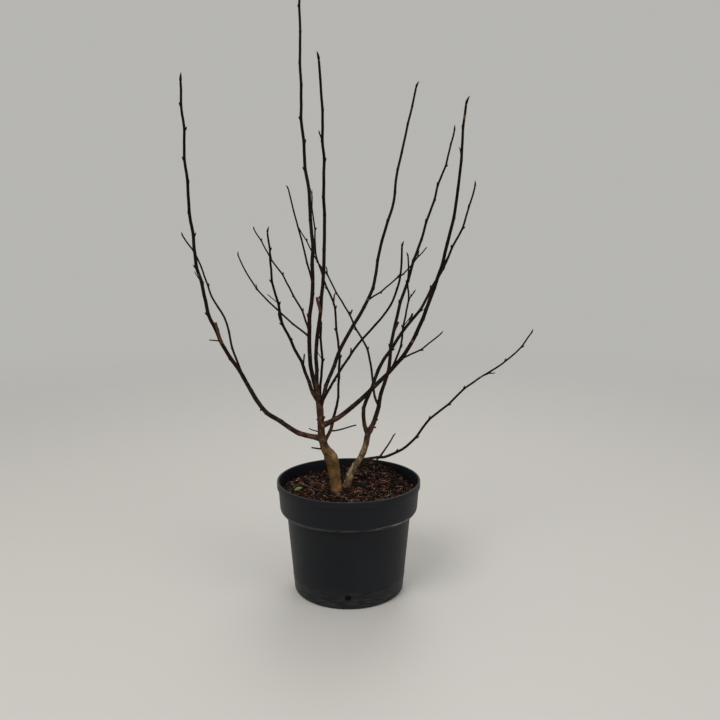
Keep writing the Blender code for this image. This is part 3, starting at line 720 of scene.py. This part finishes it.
# Each mass: its name, then its stem, then the side shoots that grow on it
MASSES = {
    "twigs_far_left": {
        "stem": Limb(
            "bough_far_left", 1.0, (-5, -2, 10),
            ((-0.1594, -0.0403, 0.3428), (-0.172, -0.05, 0.387), (-0.183, -0.065, 0.47)),
            (-0.186, -0.085, 0.649), (0, -1, 12), (0.0052, 0.0027)),
        "back": Limb(
            "stem", 0.004, (-3, 3, 10),
            ((-0.146, -0.024, 0.3287), (-0.1562, -0.014, 0.3646), (-0.1766, -0.002, 0.3965),
             (-0.192, 0.013, 0.435)),
            (-0.219, 0.03, 0.474), (-6, 3, 10), (0.0031, 0.002)),
        "snag": Limb("stem", 0.13, (-2, -4, 10), (), (-0.162, -0.048, 0.364), (-2, -2, 10), (0.0038, 0.0034)),
    },
    "twigs_right_tall": {
        "stem": Limb(
            "bough_right", 1.0, (8, -4, 10), ((0.084, -0.045, 0.35), (0.122, -0.08, 0.484)),
            (0.132, -0.11, 0.62), (1, -2, 10), (0.0055, 0.0026)),
        "up": Limb(
            "stem", 0.02, (5, -5, 10), ((0.07, -0.055, 0.37),),
            (0.07, -0.09, 0.451), (-1, -3, 10), (0.0029, 0.0018)),
        "low": Limb("stem", 0.08, (10, -9, 6), (), (0.114, -0.075, 0.356), (9, -8, 10), (0.0025, 0.0017)),
    },
    "twigs_leader": {
        "stem": Limb(
            "bough_leader", 1.0, (0, 0, 1),
            ((-0.045, -0.005, 0.415), (-0.048, 0.000, 0.505), (-0.057, 0.007, 0.601)),
            (-0.059, 0.02, 0.774), (0, 1, 12), (0.0053, 0.0028)),
        "low": Limb("stem", 0.01, (-10, 6, 7), (), (-0.151, 0.06, 0.448), (-4, 4, 10), (0.0027, 0.0018)),
        "high": Limb("stem", 0.025, (-4, 8, 10), (), (-0.136, 0.11, 0.482), (-6, 7, 10), (0.0029, 0.0018)),
        "fore": Limb(
            "stem", 0.165, (-2, -5, 10), (), (-0.07, -0.065, 0.528), (-2, -4, 10), (0.0027, 0.0017)),
    },
    "twigs_second": {
        "stem": Limb(
            "bough_second", 1.0, (1, -1, 12), ((-0.032, -0.03, 0.395), (-0.028, -0.042, 0.49)),
            (-0.033, -0.06, 0.678), (-1, -1, 12), (0.0049, 0.0028)),
        "short": Limb(
            "stem", 0.127, (-2, -4, 10), (), (-0.038, -0.034, 0.394), (0, -1, 10), (0.0042, 0.0036)),
    },
    "twigs_left": {
        "stem": Limb(
            "bough_left", 1.0, (-5, -6, 10), (), (-0.088, -0.12, 0.479), (0, -5, 10), (0.0041, 0.002)),
        "side": Limb("stem", 0.24, (-6, 2, 10), (), (-0.087, -0.035, 0.376), (-2, 2, 10), (0.002, 0.0017)),
    },
    "twigs_inner_right": {
        "stem": Limb(
            "bough_inner_right", 1.0, (5, 3, 10),
            ((0.029, 0.035, 0.394), (0.044, 0.06, 0.46), (0.0596, 0.069, 0.511), (0.064, 0.076, 0.546)),
            (0.093, 0.105, 0.677), (2, 2, 10), (0.0049, 0.0028)),
        "side": Limb("stem", 0.19, (10, 12, 6), (), (0.112, 0.135, 0.454), (8, 9, 10), (0.0025, 0.0017)),
    },
    "twigs_front": {
        "stem": Limb(
            "trunk_left", 0.885, (4, -6, 10), ((0.004, -0.045, 0.325), (0.054, -0.1, 0.398)),
            (0.061, -0.135, 0.464), (0, -5, 10), (0.0036, 0.0022)),
        "snag": Limb("stem", 0.34, (-1, -2, 10), (), (0.004, -0.053, 0.333), (-1, -2, 10), (0.002, 0.002)),
    },
    "twigs_back": {
        "stem": Limb(
            "bough_back", 1.0, (0, 2, 8), ((-0.02, 0.038, 0.376), (-0.042, 0.065, 0.434)),
            (-0.052, 0.1, 0.531), (-1, 3, 9), (0.0034, 0.0018)),
    },
    "twigs_upright": {
        "stem": Limb(
            "trunk_left", 0.91, (1, 7, 10), (), (-0.036, 0.02, 0.363), (0, 2, 12), (0.0036, 0.0029)),
    },
    "twigs_outer_right": {
        "stem": Limb(
            "bough_outer_right", 1.0, (5, 1, 10), ((0.11, 0.03, 0.4),),
            (0.167, 0.045, 0.54), (2, 1, 10), (0.0048, 0.0023)),
    },
    "twigs_right_back": {
        "stem": Limb(
            "bough_right_back", 1.0, (4, 3, 10), ((0.065, 0.065, 0.357), (0.118, 0.11, 0.518)),
            (0.151, 0.15, 0.624), (2, 3, 10), (0.0052, 0.0025)),
    },
    "twigs_crossing": {
        "stem": Limb(
            "bough_crossing", 1.0, (-1, 4, 10), ((-0.006, 0.09, 0.37),),
            (-0.075, 0.14, 0.484), (-5, 4, 10), (0.0031, 0.0017)),
    },
    "twigs_low_right": {
        "stem": Limb(
            "bough_low_right", 1.0, (9, 2, 0),
            ((0.0495, 0.0315, 0.1705), (0.0752, 0.039, 0.1798), (0.111, 0.042, 0.2197),
             (0.1798, 0.042, 0.2806), (0.2149, 0.043, 0.3022)),
            (0.25, 0.045, 0.344), (8, 0, 10), (0.0038, 0.002)),
        "side": Limb("stem", 0.006, (5, 3, 7), (), (0.063, 0.042, 0.202), (4, 2, 9), (0.0027, 0.0019)),
    },
}

# A limb's station: its middle, its radius, how old its bark is, how far it swells to its bud's side, and
# which of the piece's finishes it takes up to the next station
PLAIN, SCAR, BUD = 0, 1, 2
Station = namedtuple("Station", "place radius age swell side finish", defaults=(0.0, 0.0, Vector(), PLAIN))


def hermite(start, start_way, end, end_way, count):
    """Count + 1 places on one smooth arc, from start along start_way to end along end_way."""
    reach = (end - start).length * HANDLE
    first, last = start + start_way * reach, end - end_way * reach
    places = []
    for step in range(count + 1):
        t = step / count
        places.append(
            start * (1 - t) ** 3 + first * 3 * t * (1 - t) ** 2 + last * 3 * t**2 * (1 - t) + end * t**3
        )
    return places


def route(foot, limb, fineness=24):
    """The limb's smooth middle line, before its zigzag."""
    stops = [foot, *(Vector(place) for place in limb.by), Vector(limb.tip)]
    ways = [Vector(limb.leaves).normalized()]
    ways += [(after - before).normalized() for before, after in zip(stops, stops[2:])]
    ways.append(Vector(limb.arrives).normalized())
    line = [foot]
    for number, (start, end) in enumerate(zip(stops, stops[1:])):
        line += hermite(start, ways[number], end, ways[number + 1], fineness)[1:]
    return line


def lengths(line):
    """How far along the line each of its places is."""
    total = [0.0]
    for start, end in zip(line, line[1:]):
        total.append(total[-1] + (end - start).length)
    return total


def place_at(line, share):
    """The place at that share of the line's length, and the way the line heads there."""
    along = lengths(line)
    wanted = share * along[-1]
    for number in range(1, len(line)):
        if along[number] >= wanted - 1e-12:
            break
    start, end = line[number - 1], line[number]
    part = (wanted - along[number - 1]) / (along[number] - along[number - 1])
    return start.lerp(end, part), (end - start).normalized()


def girth_at(limb, share):
    """The limb's diameter at a share of its length."""
    step = min(share, 0.9999) * (len(limb.girth) - 1)
    before = int(step)
    return limb.girth[before] + (limb.girth[before + 1] - limb.girth[before]) * (step - before)


def across(way, turn):
    """A direction square to the way, turned round it."""
    aside = way.cross(Vector((0, 1, 0.3))).normalized()
    return aside * math.cos(turn) + way.cross(aside) * math.sin(turn)


def all_lines():
    """Every limb's middle line by name; a mass's side shoots are named after the mass."""
    lines = {}
    for name, limb in STEMS.items():
        lines[name] = route(Vector((*limb.at, SOIL_LEVEL)), limb)
    for name, limb in BOUGHS.items():
        lines[name] = route(place_at(lines[limb.on], limb.at)[0], limb)
    for mass, shoots in MASSES.items():
        for shoot, limb in shoots.items():
            parent = limb.on if limb.on in lines else f"{mass}.{limb.on}"
            lines[f"{mass}.{shoot}"] = route(place_at(lines[parent], limb.at)[0], limb)
    return lines


def nodes_of(name, line):
    """The limb's nodes as (share, side, spur, bears), by the source's rule, seed and order of draws."""
    rng = random.Random(name)
    total = lengths(line)[-1]
    count = max(1, round(total / NODE_SPACING))
    shares = [(number + rng.uniform(-0.2, 0.2)) / count for number in range(1, count)]
    turn = rng.uniform(0, math.tau)
    nodes = []
    for number, share in enumerate(shares, 1):
        way = place_at(line, share)[1]
        side = across(way, turn + math.pi * number + rng.uniform(-0.5, 0.5))
        length = rng.uniform(*SPUR_LENGTHS)
        bears = share * total >= FIRST_BUD
        spur = length if bears and rng.random() < SPUR_SHARE else 0.0
        nodes.append((share, side, spur, bears))
    return nodes


def stations_of(name, limb, line, kind, parent_radius=0.0):
    """The limb's stations, close enough for its zigzag, its swollen nodes and the collar at its foot."""
    total = lengths(line)[-1]
    nodes = nodes_of(name, line)
    count = max(2, round(total / STATION_STEP))
    wanted = [total * step / count for step in range(count + 1)]
    for share, *_ in nodes:
        wanted += [share * total + offset for offset in NODE_STATIONS]
    wanted = sorted(distance for distance in wanted if 0 <= distance <= total)
    distances = [wanted[0]]
    distances += [b for a, b in zip(wanted, wanted[1:]) if b - a > NEAREST_STATIONS]
    stations = []
    for distance in distances:
        share = distance / total
        place, _ = place_at(line, share)
        radius = girth_at(limb, share) / 2
        swell, facing, finish = 0.0, Vector(), PLAIN
        for node, side, spur, bears in nodes:
            away = distance - node * total
            bend = max(0.0, 1 - abs(away) * 2 / NODE_SPACING)
            place = place + side * ZIGZAG * bend
            radius *= 1 + NODE_SWELLING[kind] * math.exp(-(away / NODE_LENGTH) ** 2)
            if abs(away) < NODE_REACH:
                from_scar = (away + LEAF_SCAR_DROP) / LEAF_SCAR_LENGTH
                swell = NODE_SIDE_SWELLING[kind] * math.exp(-from_scar ** 2)
                facing, finish = side, SCAR if -0.00001 < away < RING_SCAR else PLAIN
        if parent_radius:
            out = max(0.0, distance - parent_radius)
            radius *= 1 + COLLAR * math.exp(-out / COLLAR_LENGTH[kind])
        old, young = AGES.get(name, AGES[kind])
        stations.append(Station(place, radius, old + (young - old) * share, swell, facing, finish))
    return stations


class Shape:
    """The limbs of one piece, with a number at each corner for how old the bark is there."""

    def __init__(self):
        self.mesh = bmesh.new()
        self.ages = self.mesh.verts.layers.float.new("age")

    def add_limb(self, stations, sides):
        """Adds one closed limb through the stations; its rings are carried along without a twist."""
        places = [station.place for station in stations]
        ways = [(b - a).normalized() for a, b in zip([places[0], *places], [*places[1:], places[-1]])]
        aside = across(ways[0], 0)
        rings = []
        for station, way in zip(stations, ways):
            aside = (aside - way * aside.dot(way)).normalized()
            upward = way.cross(aside)
            ring = []
            for number in range(sides):
                turn = math.tau * number / sides
                out = aside * math.cos(turn) + upward * math.sin(turn)
                swell = station.swell * max(0.0, out.dot(station.side)) ** 2
                corner = self.mesh.verts.new(station.place + out * station.radius * (1 + swell))
                corner[self.ages] = station.age
                ring.append(corner)
            rings.append(ring)
        for station, low, high in zip(stations, rings, rings[1:]):
            for number in range(sides):
                after = (number + 1) % sides
                face = self.mesh.faces.new((low[number], low[after], high[after], high[number]))
                face.smooth = True
                out = (low[number].co - station.place).normalized()
                leaf_scar = station.swell > LEAF_SCAR_SWELL and out.dot(station.side) > LEAF_SCAR_WIDTH
                face.material_index = SCAR if leaf_scar else station.finish
        self.mesh.faces.new(reversed(rings[0]))
        self.mesh.faces.new(rings[-1]).material_index = stations[-1].finish

    def piece(self, name):
        """The finished shape as a piece of its own."""
        mesh = bpy.data.meshes.new(name)
        self.mesh.to_mesh(mesh)
        self.mesh.free()
        return linked(name, mesh)


def flared(stations, limb):
    """The stem's stations with its root flare, carried on into the soil."""
    spread = []
    for station in stations:
        fade = math.exp(-(station.place.z - SOIL_LEVEL) / FLARE_HEIGHT)
        spread.append(station._replace(radius=station.radius * (1 + FLARE * fade)))
    below = spread[0].place - Vector(limb.leaves).normalized() * SUNK
    return [spread[0]._replace(place=below), *spread]


def make_wood(name, stem, lines):
    """One stem with all its boughs, fused; returns the piece and each limb's stations."""
    shape = Shape()
    grown = {stem: flared(stations_of(stem, STEMS[stem], lines[stem], "stem"), STEMS[stem])}
    for bough, limb in BOUGHS.items():
        if limb.on in grown:
            parent_radius = girth_at(WOOD[limb.on], limb.at) / 2
            grown[bough] = stations_of(bough, limb, lines[bough], "bough", parent_radius)
    for stations in grown.values():
        shape.add_limb(stations, WOOD_SIDES)
    wood = shape.piece(name)
    pick(wood)
    wood.data.remesh_voxel_size = WOOD_VOXEL
    bpy.ops.object.voxel_remesh()
    apply_modifier(wood, "SMOOTH", factor=0.5, iterations=4)
    return wood, grown


def add_relief(wood, grown):
    """Cuts the bark's relief into the fused wood, and marks how old it is."""
    samples = []
    for name, stations in grown.items():
        along = 0.0
        limb = WOOD[name]
        hidden = 0.0 if limb.on is None else girth_at(WOOD[limb.on], limb.at) / 2
        for before, station in zip(stations, stations[1:]):
            along += (station.place - before.place).length
            if along >= hidden:
                samples.append((station, (station.place - before.place).normalized(), along))
    tree = kdtree.KDTree(len(samples))
    for number, (station, _, _) in enumerate(samples):
        tree.insert(station.place, number)
    tree.balance()
    ages = wood.data.attributes.new("age", "FLOAT", "POINT")
    old = []
    moved = []
    for corner in wood.data.vertices:
        station, way, along = samples[tree.find(corner.co)[1]]
        offset = corner.co - station.place
        along += offset.dot(way)
        offset = offset - way * offset.dot(way)
        coarse = noise.noise(offset / COARSE_WIDTH + Vector((0, 0, along / COARSE_LENGTH)))
        fine = noise.noise(offset / FINE_WIDTH + Vector((0, 0, along / FINE_LENGTH)))
        depth = station.age * COARSE_DEPTH * coarse + (FINE_DEPTH + FINE_DEPTH_OLD * station.age) * fine
        moved.append(corner.co + corner.normal * depth)
        old.append(station.age)
    for corner, place in zip(wood.data.vertices, moved):
        corner.co = place
    ages.data.foreach_set("value", old)
    wood.data.shade_smooth()


def bark_finish(name, olive, tan):
    """The old stem is olive and tan, with cracks, pale corky dots, grazes and a painted highlight on its
    bulge; its boughs are browner.
    """
    bark = Finish(name.replace("_", " ") + " bark", BARK_SHINE)
    age = bark.age()
    blotches = bark.noise(120.0, 4.0, 0.6)
    cracks = bark.noise(1.0, 5.0, 0.65, bark.stretched((900, 900, 220)))
    dots = bark.node("ShaderNodeTexVoronoi", {}, {"Vector": bark.stretched((330, 330, 560)), "Scale": 1.0})
    old = bark.mix(bark.step(blotches, 0.38, 0.66), olive, tan)
    red = bark.mix(bark.step(blotches, 0.4, 0.64), *RED_BROWNS)
    young = bark.mix(bark.step(blotches, 0.4, 0.7), YOUNG_DARK, YOUNG_BROWN)
    colour = bark.mix(bark.step(age, 0.34, 0.52), young, red)
    colour = bark.mix(bark.step(age + blotches * 0.2, 0.74, 0.96), colour, old)
    colour = bark.mix(bark.step(cracks, 0.54, 0.7) * 0.55, colour, BARK_CRACK)
    pale = (1 - bark.step(dots, 0.16, 0.28)) * bark.step(blotches, 0.48, 0.6)
    colour = bark.mix(pale * 0.45, colour, BARK_DOTS)
    # The grazes, scars and cuts, and one painted highlight on the left stem's bulge
    for place, reach, patch_colour in WOUNDS_AND_HIGHLIGHT:
        near = 1 - bark.step(bark.distance(place) + blotches * reach * 0.8, reach * 0.7, reach * 1.3)
        colour = bark.mix(near * 0.85, colour, patch_colour)
    return bark.ends(colour, 0.62 + cracks * 0.25, cracks * -0.8 + blotches * 0.5 + pale * 0.3, 0.8, 0.0009)


lines = all_lines()
wood_stations = {}
for name, stem in (("left_wood", "trunk_left"), ("right_wood", "trunk_right")):
    wood, grown = make_wood(name, stem, lines)
    add_relief(wood, grown)
    wood_stations.update(grown)
    hand_over(wood, bark_finish(name, *OLD_BARKS[name]), "old_bark", *grown)


# The shoots: each mass is one year's or two years' growth, thin and nearly black, with a swollen node,
# a ring scar and a leaf scar under every bud, and a slim hooked bud at its tip. The source's rule grows
# them, carried on here to finer twigs within the same reach.
SHOOT_SIDES = 10
TIP_BUD_LENGTH = 7.5
TIP_BUD_SHAPE = (
    (0.03, 0.8, SCAR), (0.07, 0.88, BUD), (0.14, 1.05, BUD), (0.26, 1.15, BUD), (0.42, 1.06, BUD),
    (0.6, 0.88, BUD), (0.78, 0.6, BUD), (0.92, 0.34, BUD), (1.0, 0.14, BUD),
)
TIP_HOOK = 0.3
SPUR_STEP = 0.0008
SPUR_WRINKLE = 0.12
TWIG_AGE = 0.1
FINE_TWIG_SHARE = 0.12
FINE_TWIG_LENGTHS = (0.008, 0.017)
FINE_TWIG_RADIUS = 0.00055
FINE_TWIG_WRINKLE = 0.04
FINE_TWIGS_FROM, FINE_TWIGS_TO = 0.15, 0.85
BUD_SIDES = 8
BUD_LENGTH = 0.0043
BUD_RADIUS = 0.0009
BUD_SUNK = 0.2
BUD_LEAN = 0.1
BUD_ON_SPUR = 0.55
BUD_SHAPE = (
    (0.0, 0.5), (0.1, 0.8), (0.26, 1.0), (0.42, 0.98),
    (0.58, 0.84), (0.74, 0.6), (0.88, 0.34), (1.0, 0.1),
)
SHOOT_DARK = (0.0022, 0.0018, 0.0013)
SHOOT_OLIVE = (0.0095, 0.0088, 0.0022)
SHOOT_BROWN = (0.015, 0.0068, 0.0035)
SHOOT_DOTS = (0.1, 0.06, 0.032)
DEAD_BROWN = (0.075, 0.032, 0.018)
SHOOT_SHINE = 0.06
# Where a year's growth ended: the close rings of its bud scales show as a pale brown band
YEAR_RINGS = (
    (-0.1793, -0.0571, 0.4225), (0.1115, -0.0679, 0.4347), (0.0799, -0.0421, 0.3405),
    (-0.046, -0.0055, 0.4122), (-0.0341, -0.0274, 0.3764), (0.0251, 0.0315, 0.385),
    (0.1303, -0.1055, 0.598), (0.1798, 0.042, 0.2806),
)
YEAR_RING = (0.0026, 0.0034)
YEAR_BROWN = (0.12, 0.058, 0.027)
# The shoots that died back to a stump: no bud ends them, but a cut
DEAD_SHOOTS = ("snag", "short")
SCAR_TAN = (0.22, 0.12, 0.055)
BUD_BROWN = (0.011, 0.007, 0.004)
BUD_GREY = (0.045, 0.036, 0.024)


def tipped(stations, rng):
    """The stations with the slim bud at the shoot's tip, which hooks a little to one side."""
    tip = stations[-1]
    length = tip.radius * TIP_BUD_LENGTH
    below = [station for station in stations if (tip.place - station.place).length > length] or stations[:1]
    way = (tip.place - below[-1].place).normalized()
    foot = tip.place - way * length
    hook = across(way, rng.uniform(0, math.tau)) * TIP_HOOK
    bud = []
    for share, swell, finish in TIP_BUD_SHAPE:
        place = foot + (way * share + hook * share * share) * length
        bud.append(Station(place, tip.radius * swell, finish=finish))
    return [*below, *bud]


def cut_off(stations):
    """The stations with a pale cut in place of a bud at the end."""
    return [*stations[:-1], stations[-1]._replace(finish=SCAR)]


def short_twig(foot, way, length, radius, wrinkle):
    """A spur or a fine twig: close stations with ring wrinkles, and room beyond for its tip bud."""
    count = max(3, round(length / SPUR_STEP))
    stations = []
    for step in range(count + 1):
        ripple = 1 + wrinkle * (step % 2)
        place = foot + way * length * step / count
        stations.append(Station(place, radius * ripple, TWIG_AGE))
    end = foot + way * (length + radius * TIP_BUD_LENGTH)
    return [*stations, stations[-1]._replace(place=end, radius=radius)]


def add_bud(buds, foot, way, side):
    """A pointed bud that leans on the shoot, its foot sunk in it."""
    stations = []
    for share, swell in BUD_SHAPE:
        lean = side * -BUD_LEAN * share * share
        place = foot + (way * (share - BUD_SUNK) + lean) * BUD_LENGTH
        stations.append(Station(place, BUD_RADIUS * swell))
    buds.add_limb(stations, BUD_SIDES)


def grow_shoot(name, limb, line, parent_radius, shape, buds):
    """One shoot with its spurs, fine twigs and buds."""
    rng = random.Random(name + " fine")
    total = lengths(line)[-1]
    stations = stations_of(name, limb, line, "shoot", parent_radius)
    if limb.at == 1.0:
        way = (stations[1].place - stations[0].place).normalized()
        stations.insert(0, stations[0]._replace(place=stations[0].place - way * SUNK))
    if name.endswith(DEAD_SHOOTS):
        stations = [station._replace(age=1.0) for station in stations]
        shape.add_limb(cut_off(stations), SHOOT_SIDES)
        return
    shape.add_limb(tipped(stations, rng), SHOOT_SIDES)
    for share, side, spur, bears in nodes_of(name, line):
        if not bears:
            continue
        place, way = place_at(line, share)
        place = place + side * ZIGZAG
        radius = girth_at(limb, share) / 2 * (1 + NODE_SWELLING["shoot"])
        out = (way * 2 + side).normalized()
        if spur:
            twig = short_twig(place, out, spur, SPUR_RADIUS, SPUR_WRINKLE)
            shape.add_limb(tipped(twig, rng), SHOOT_SIDES - 2)
            add_bud(buds, place + out * spur * BUD_ON_SPUR, (out * 2 - side).normalized(), side)
        else:
            add_bud(buds, place + side * radius, out, side)
            if rng.random() < FINE_TWIG_SHARE and FINE_TWIGS_FROM < share < FINE_TWIGS_TO:
                aside = (way * 1.6 - side).normalized()
                length = rng.uniform(*FINE_TWIG_LENGTHS)
                twig = short_twig(place, aside, length, FINE_TWIG_RADIUS, FINE_TWIG_WRINKLE)
                shape.add_limb(tipped(twig, rng), SHOOT_SIDES - 4)


def shoot_finish():
    """Smooth young bark: near black above, brown below, tinged with olive, with tiny pale dots."""
    shoot = Finish("young shoot bark", SHOOT_SHINE)
    age = shoot.age()
    tinge = shoot.noise(55.0, 3.0)
    streaks = shoot.noise(1.0, 3.0, 0.5, shoot.stretched((1200, 1200, 180)))
    dots = shoot.node("ShaderNodeTexVoronoi", {}, {"Vector": shoot.place, "Scale": 620.0})
    colour = shoot.mix(shoot.step(tinge, 0.46, 0.7) * 0.75, SHOOT_DARK, SHOOT_OLIVE)
    colour = shoot.mix(shoot.step(age + tinge * 0.2, 0.18, 0.42), colour, SHOOT_BROWN)
    colour = shoot.mix(shoot.step(age, 0.7, 0.9), colour, DEAD_BROWN)
    for place in YEAR_RINGS:
        near = 1 - shoot.step(shoot.distance(place) + streaks * 0.0006, *YEAR_RING)
        colour = shoot.mix(near * 0.8, colour, YEAR_BROWN)
    pale = (1 - shoot.step(dots, 0.14, 0.24)) * shoot.step(streaks, 0.42, 0.6)
    colour = shoot.mix(pale * 0.35, colour, SHOOT_DOTS)
    return shoot.ends(colour, 0.5 + streaks * 0.25, streaks * 0.5 + pale * 0.5, 0.35, 0.0003)


def scar_finish():
    """The pale corky scars that leaves and bud scales left."""
    scar = Finish("pale scars")
    uneven = scar.noise(900.0, 2.0)
    return scar.ends(scar.mix(uneven, shaded(SCAR_TAN, 0.6), SCAR_TAN), 0.85)


def bud_finish():
    """Bud scales with a short grey down."""
    bud = Finish("downy bud scales", SHOOT_SHINE)
    down = bud.noise(1500.0, 3.0, 0.7, bud.stretched((1, 1, 0.35)))
    bud.shader.inputs["Sheen Weight"].default_value = 0.06
    colour = bud.mix(bud.step(down, 0.45, 0.75) * 0.6, BUD_BROWN, BUD_GREY)
    return bud.ends(colour, 0.7, down, 0.4, 0.0002)


shoot_finishes = (shoot_finish(), scar_finish(), bud_finish())
buds = Shape()
for mass, shoots in MASSES.items():
    shape = Shape()
    for shoot, limb in shoots.items():
        parent = WOOD.get(limb.on) or shoots["stem"]
        parent_radius = 0.0 if limb.at == 1.0 else girth_at(parent, limb.at) / 2
        name = f"{mass}.{shoot}"
        grow_shoot(name, limb, lines[name], parent_radius, shape, buds)
    piece = shape.piece(mass.replace("twigs", "shoots"))
    hand_over(piece, shoot_finishes[0], "shoot_bark", mass)
    for more in shoot_finishes[1:]:
        piece.data.materials.append(more)
hand_over(buds.piece("winter_buds"), shoot_finishes[2], "shoot_bark")


# The snags and stubs: dead stumps of twigs that were cut or broke off, grey or reddish brown with a pale
# cut end. The longer ones are the source's; the short stubs stand on the stems, boughs and shoots.
Stub = namedtuple("Stub", "on at leaves length girth")
STUBS = (
    Stub("trunk_left", 0.722, (5, -5, 10), 0.0128, 0.0032),
    Stub("trunk_left", 0.77, (-10, -3, -1), 0.0052, 0.0026),
    Stub("bough_outer_right", 0.27, (1, -10, 1), 0.0038, 0.0032),
    Stub("bough_right_back", 0.33, (6, -8, -2), 0.0052, 0.0028),
    Stub("bough_right_back", 0.14, (10, -4, -1), 0.006, 0.0026),
    Stub("bough_far_left", 0.622, (-8, -4, -3), 0.005, 0.0028),
    Stub("twigs_right_back.stem", 0.2, (4.5, -4, 10), 0.0165, 0.0036),
    Stub("twigs_outer_right.stem", 0.255, (3, -3, 10), 0.015, 0.0034),
    Stub("twigs_crossing.stem", 0.36, (3.5, -3, 8), 0.01, 0.0026),
    Stub("twigs_back.stem", 0.36, (1, -2, 10), 0.015, 0.0024),
    Stub("twigs_far_left.stem", 0.14, (-10, -1, 1), 0.0135, 0.0018),
    Stub("twigs_low_right.side", 0.0, (-7, -2, -6), 0.0095, 0.0024),
)
STUB_STEPS = 5
STUB_TAPER = 0.25
STUB_WRINKLE = 0.1
SNAG_GREY = (0.012, 0.0085, 0.006)
SNAG_RED = (0.052, 0.02, 0.012)
SNAG_CUT = (0.24, 0.155, 0.085)
PEELED = (0.4, 0.33, 0.24)
PEELED_PLACE = Vector((0.004, 0.009, 0.162))
PEELED_REACH = (0.008, 0.0095)


def stub_stations(stub, line):
    """A stub's stations: it starts inside its limb, tapers a little, and ends in a flat cut."""
    foot, _ = place_at(line, stub.at)
    way = Vector(stub.leaves).normalized()
    stations = []
    for step in range(STUB_STEPS + 1):
        share = step / STUB_STEPS
        radius = stub.girth / 2 * (1 - STUB_TAPER * share + STUB_WRINKLE * (step % 2))
        finish = SCAR if step == STUB_STEPS else PLAIN
        stations.append(Station(foot + way * stub.length * share, radius, finish=finish))
    return stations


def snag_finish(name, colour):
    """Dead wood with a lengthwise grain; one snag on the right stem has lost its bark."""
    snag = Finish(name, SHOOT_SHINE)
    grain = snag.noise(1.0, 4.0, 0.6, snag.stretched((500, 500, 900)))
    shade = snag.mix(snag.step(grain, 0.4, 0.65), shaded(colour, 0.5), colour)
    shade = snag.mix(1 - snag.step(snag.distance(PEELED_PLACE), *PEELED_REACH), shade, PEELED)
    return snag.ends(shade, 0.85, grain, 0.5, 0.0004)


snags, stubs = Shape(), Shape()
for name, limbs in SNAGS.items():
    for number, limb in enumerate(limbs):
        line = route(place_at(lines[name], limb.at)[0], limb)
        stations = stations_of(f"{name}.snag{number}", limb, line, "shoot")
        snags.add_limb(cut_off(stations), SHOOT_SIDES)
for stub in STUBS:
    stubs.add_limb(stub_stations(stub, lines[stub.on]), SHOOT_SIDES)
cut = Finish("cut wood")
cut_wood = cut.ends(cut.mix(cut.noise(1500.0), shaded(SNAG_CUT, 0.6), SNAG_CUT), 0.8)
for name, shape, colour in (("snags", snags, SNAG_GREY), ("stubs", stubs, SNAG_RED)):
    piece = shape.piece(name)
    hand_over(piece, snag_finish(name, colour), "young_bark")
    piece.data.materials.append(cut_wood)


# A weed seedling: one round green leaf near the left side of the pot, and two much smaller ones at the left
# stem's foot. Each is a cupped blade that lies on the soil.
Leaf = namedtuple("Leaf", "foot heads length width")
LEAVES = (
    Leaf((-0.0705, -0.0128, 0.1376), (10, 3, 3), 0.01, 0.0098),
    Leaf((-0.0125, -0.027, 0.1345), (3, -3, 2), 0.0042, 0.003),
    Leaf((-0.012, -0.0275, 0.1345), (-4, -2, 2), 0.0034, 0.0026),
)
LEAF_ROWS = 8
LEAF_THICKNESS = 0.00025
LEAF_CUP = 0.16
LEAF_BOW = 0.35
LEAF_GREEN = (0.06, 0.115, 0.016)
LEAF_PALE = (0.15, 0.24, 0.055)


def leaf_shape(leaf):
    """The corners and faces of one blade, row by row from its foot to its tip."""
    along = Vector(leaf.heads).normalized()
    aside = along.cross(Vector((0, 0, 1))).normalized()
    up = aside.cross(along)
    corners = []
    for row in range(LEAF_ROWS + 1):
        share = row / LEAF_ROWS
        half = leaf.width / 2 * max(0.08, math.sin(math.pi * share ** 0.85)) ** 0.6
        for across_share in (-1, -0.5, 0, 0.5, 1):
            cup = across_share**2 * LEAF_CUP * leaf.width - (share - 0.5) ** 2 * LEAF_BOW * leaf.length
            place = Vector(leaf.foot) + along * leaf.length * share + aside * half * across_share + up * cup
            corners.append(place)
    faces = []
    for row in range(LEAF_ROWS):
        for column in range(4):
            low = row * 5 + column
            faces.append((low, low + 1, low + 6, low + 5))
    return corners, faces


def leaf_finish():
    """Fresh green with a paler, mottled middle."""
    leaf = Finish("green weed leaf")
    mottle = leaf.noise(700.0, 3.0)
    return leaf.ends(leaf.mix(leaf.step(mottle, 0.42, 0.62), LEAF_GREEN, LEAF_PALE), 0.5, mottle, 0.3, 0.0003)


weed = joined_piece("weed_leaves", [leaf_shape(leaf) for leaf in LEAVES])
apply_modifier(weed, "SOLIDIFY", thickness=LEAF_THICKNESS)
weed.data.shade_smooth()
hand_over(weed, leaf_finish(), "soil_mix")
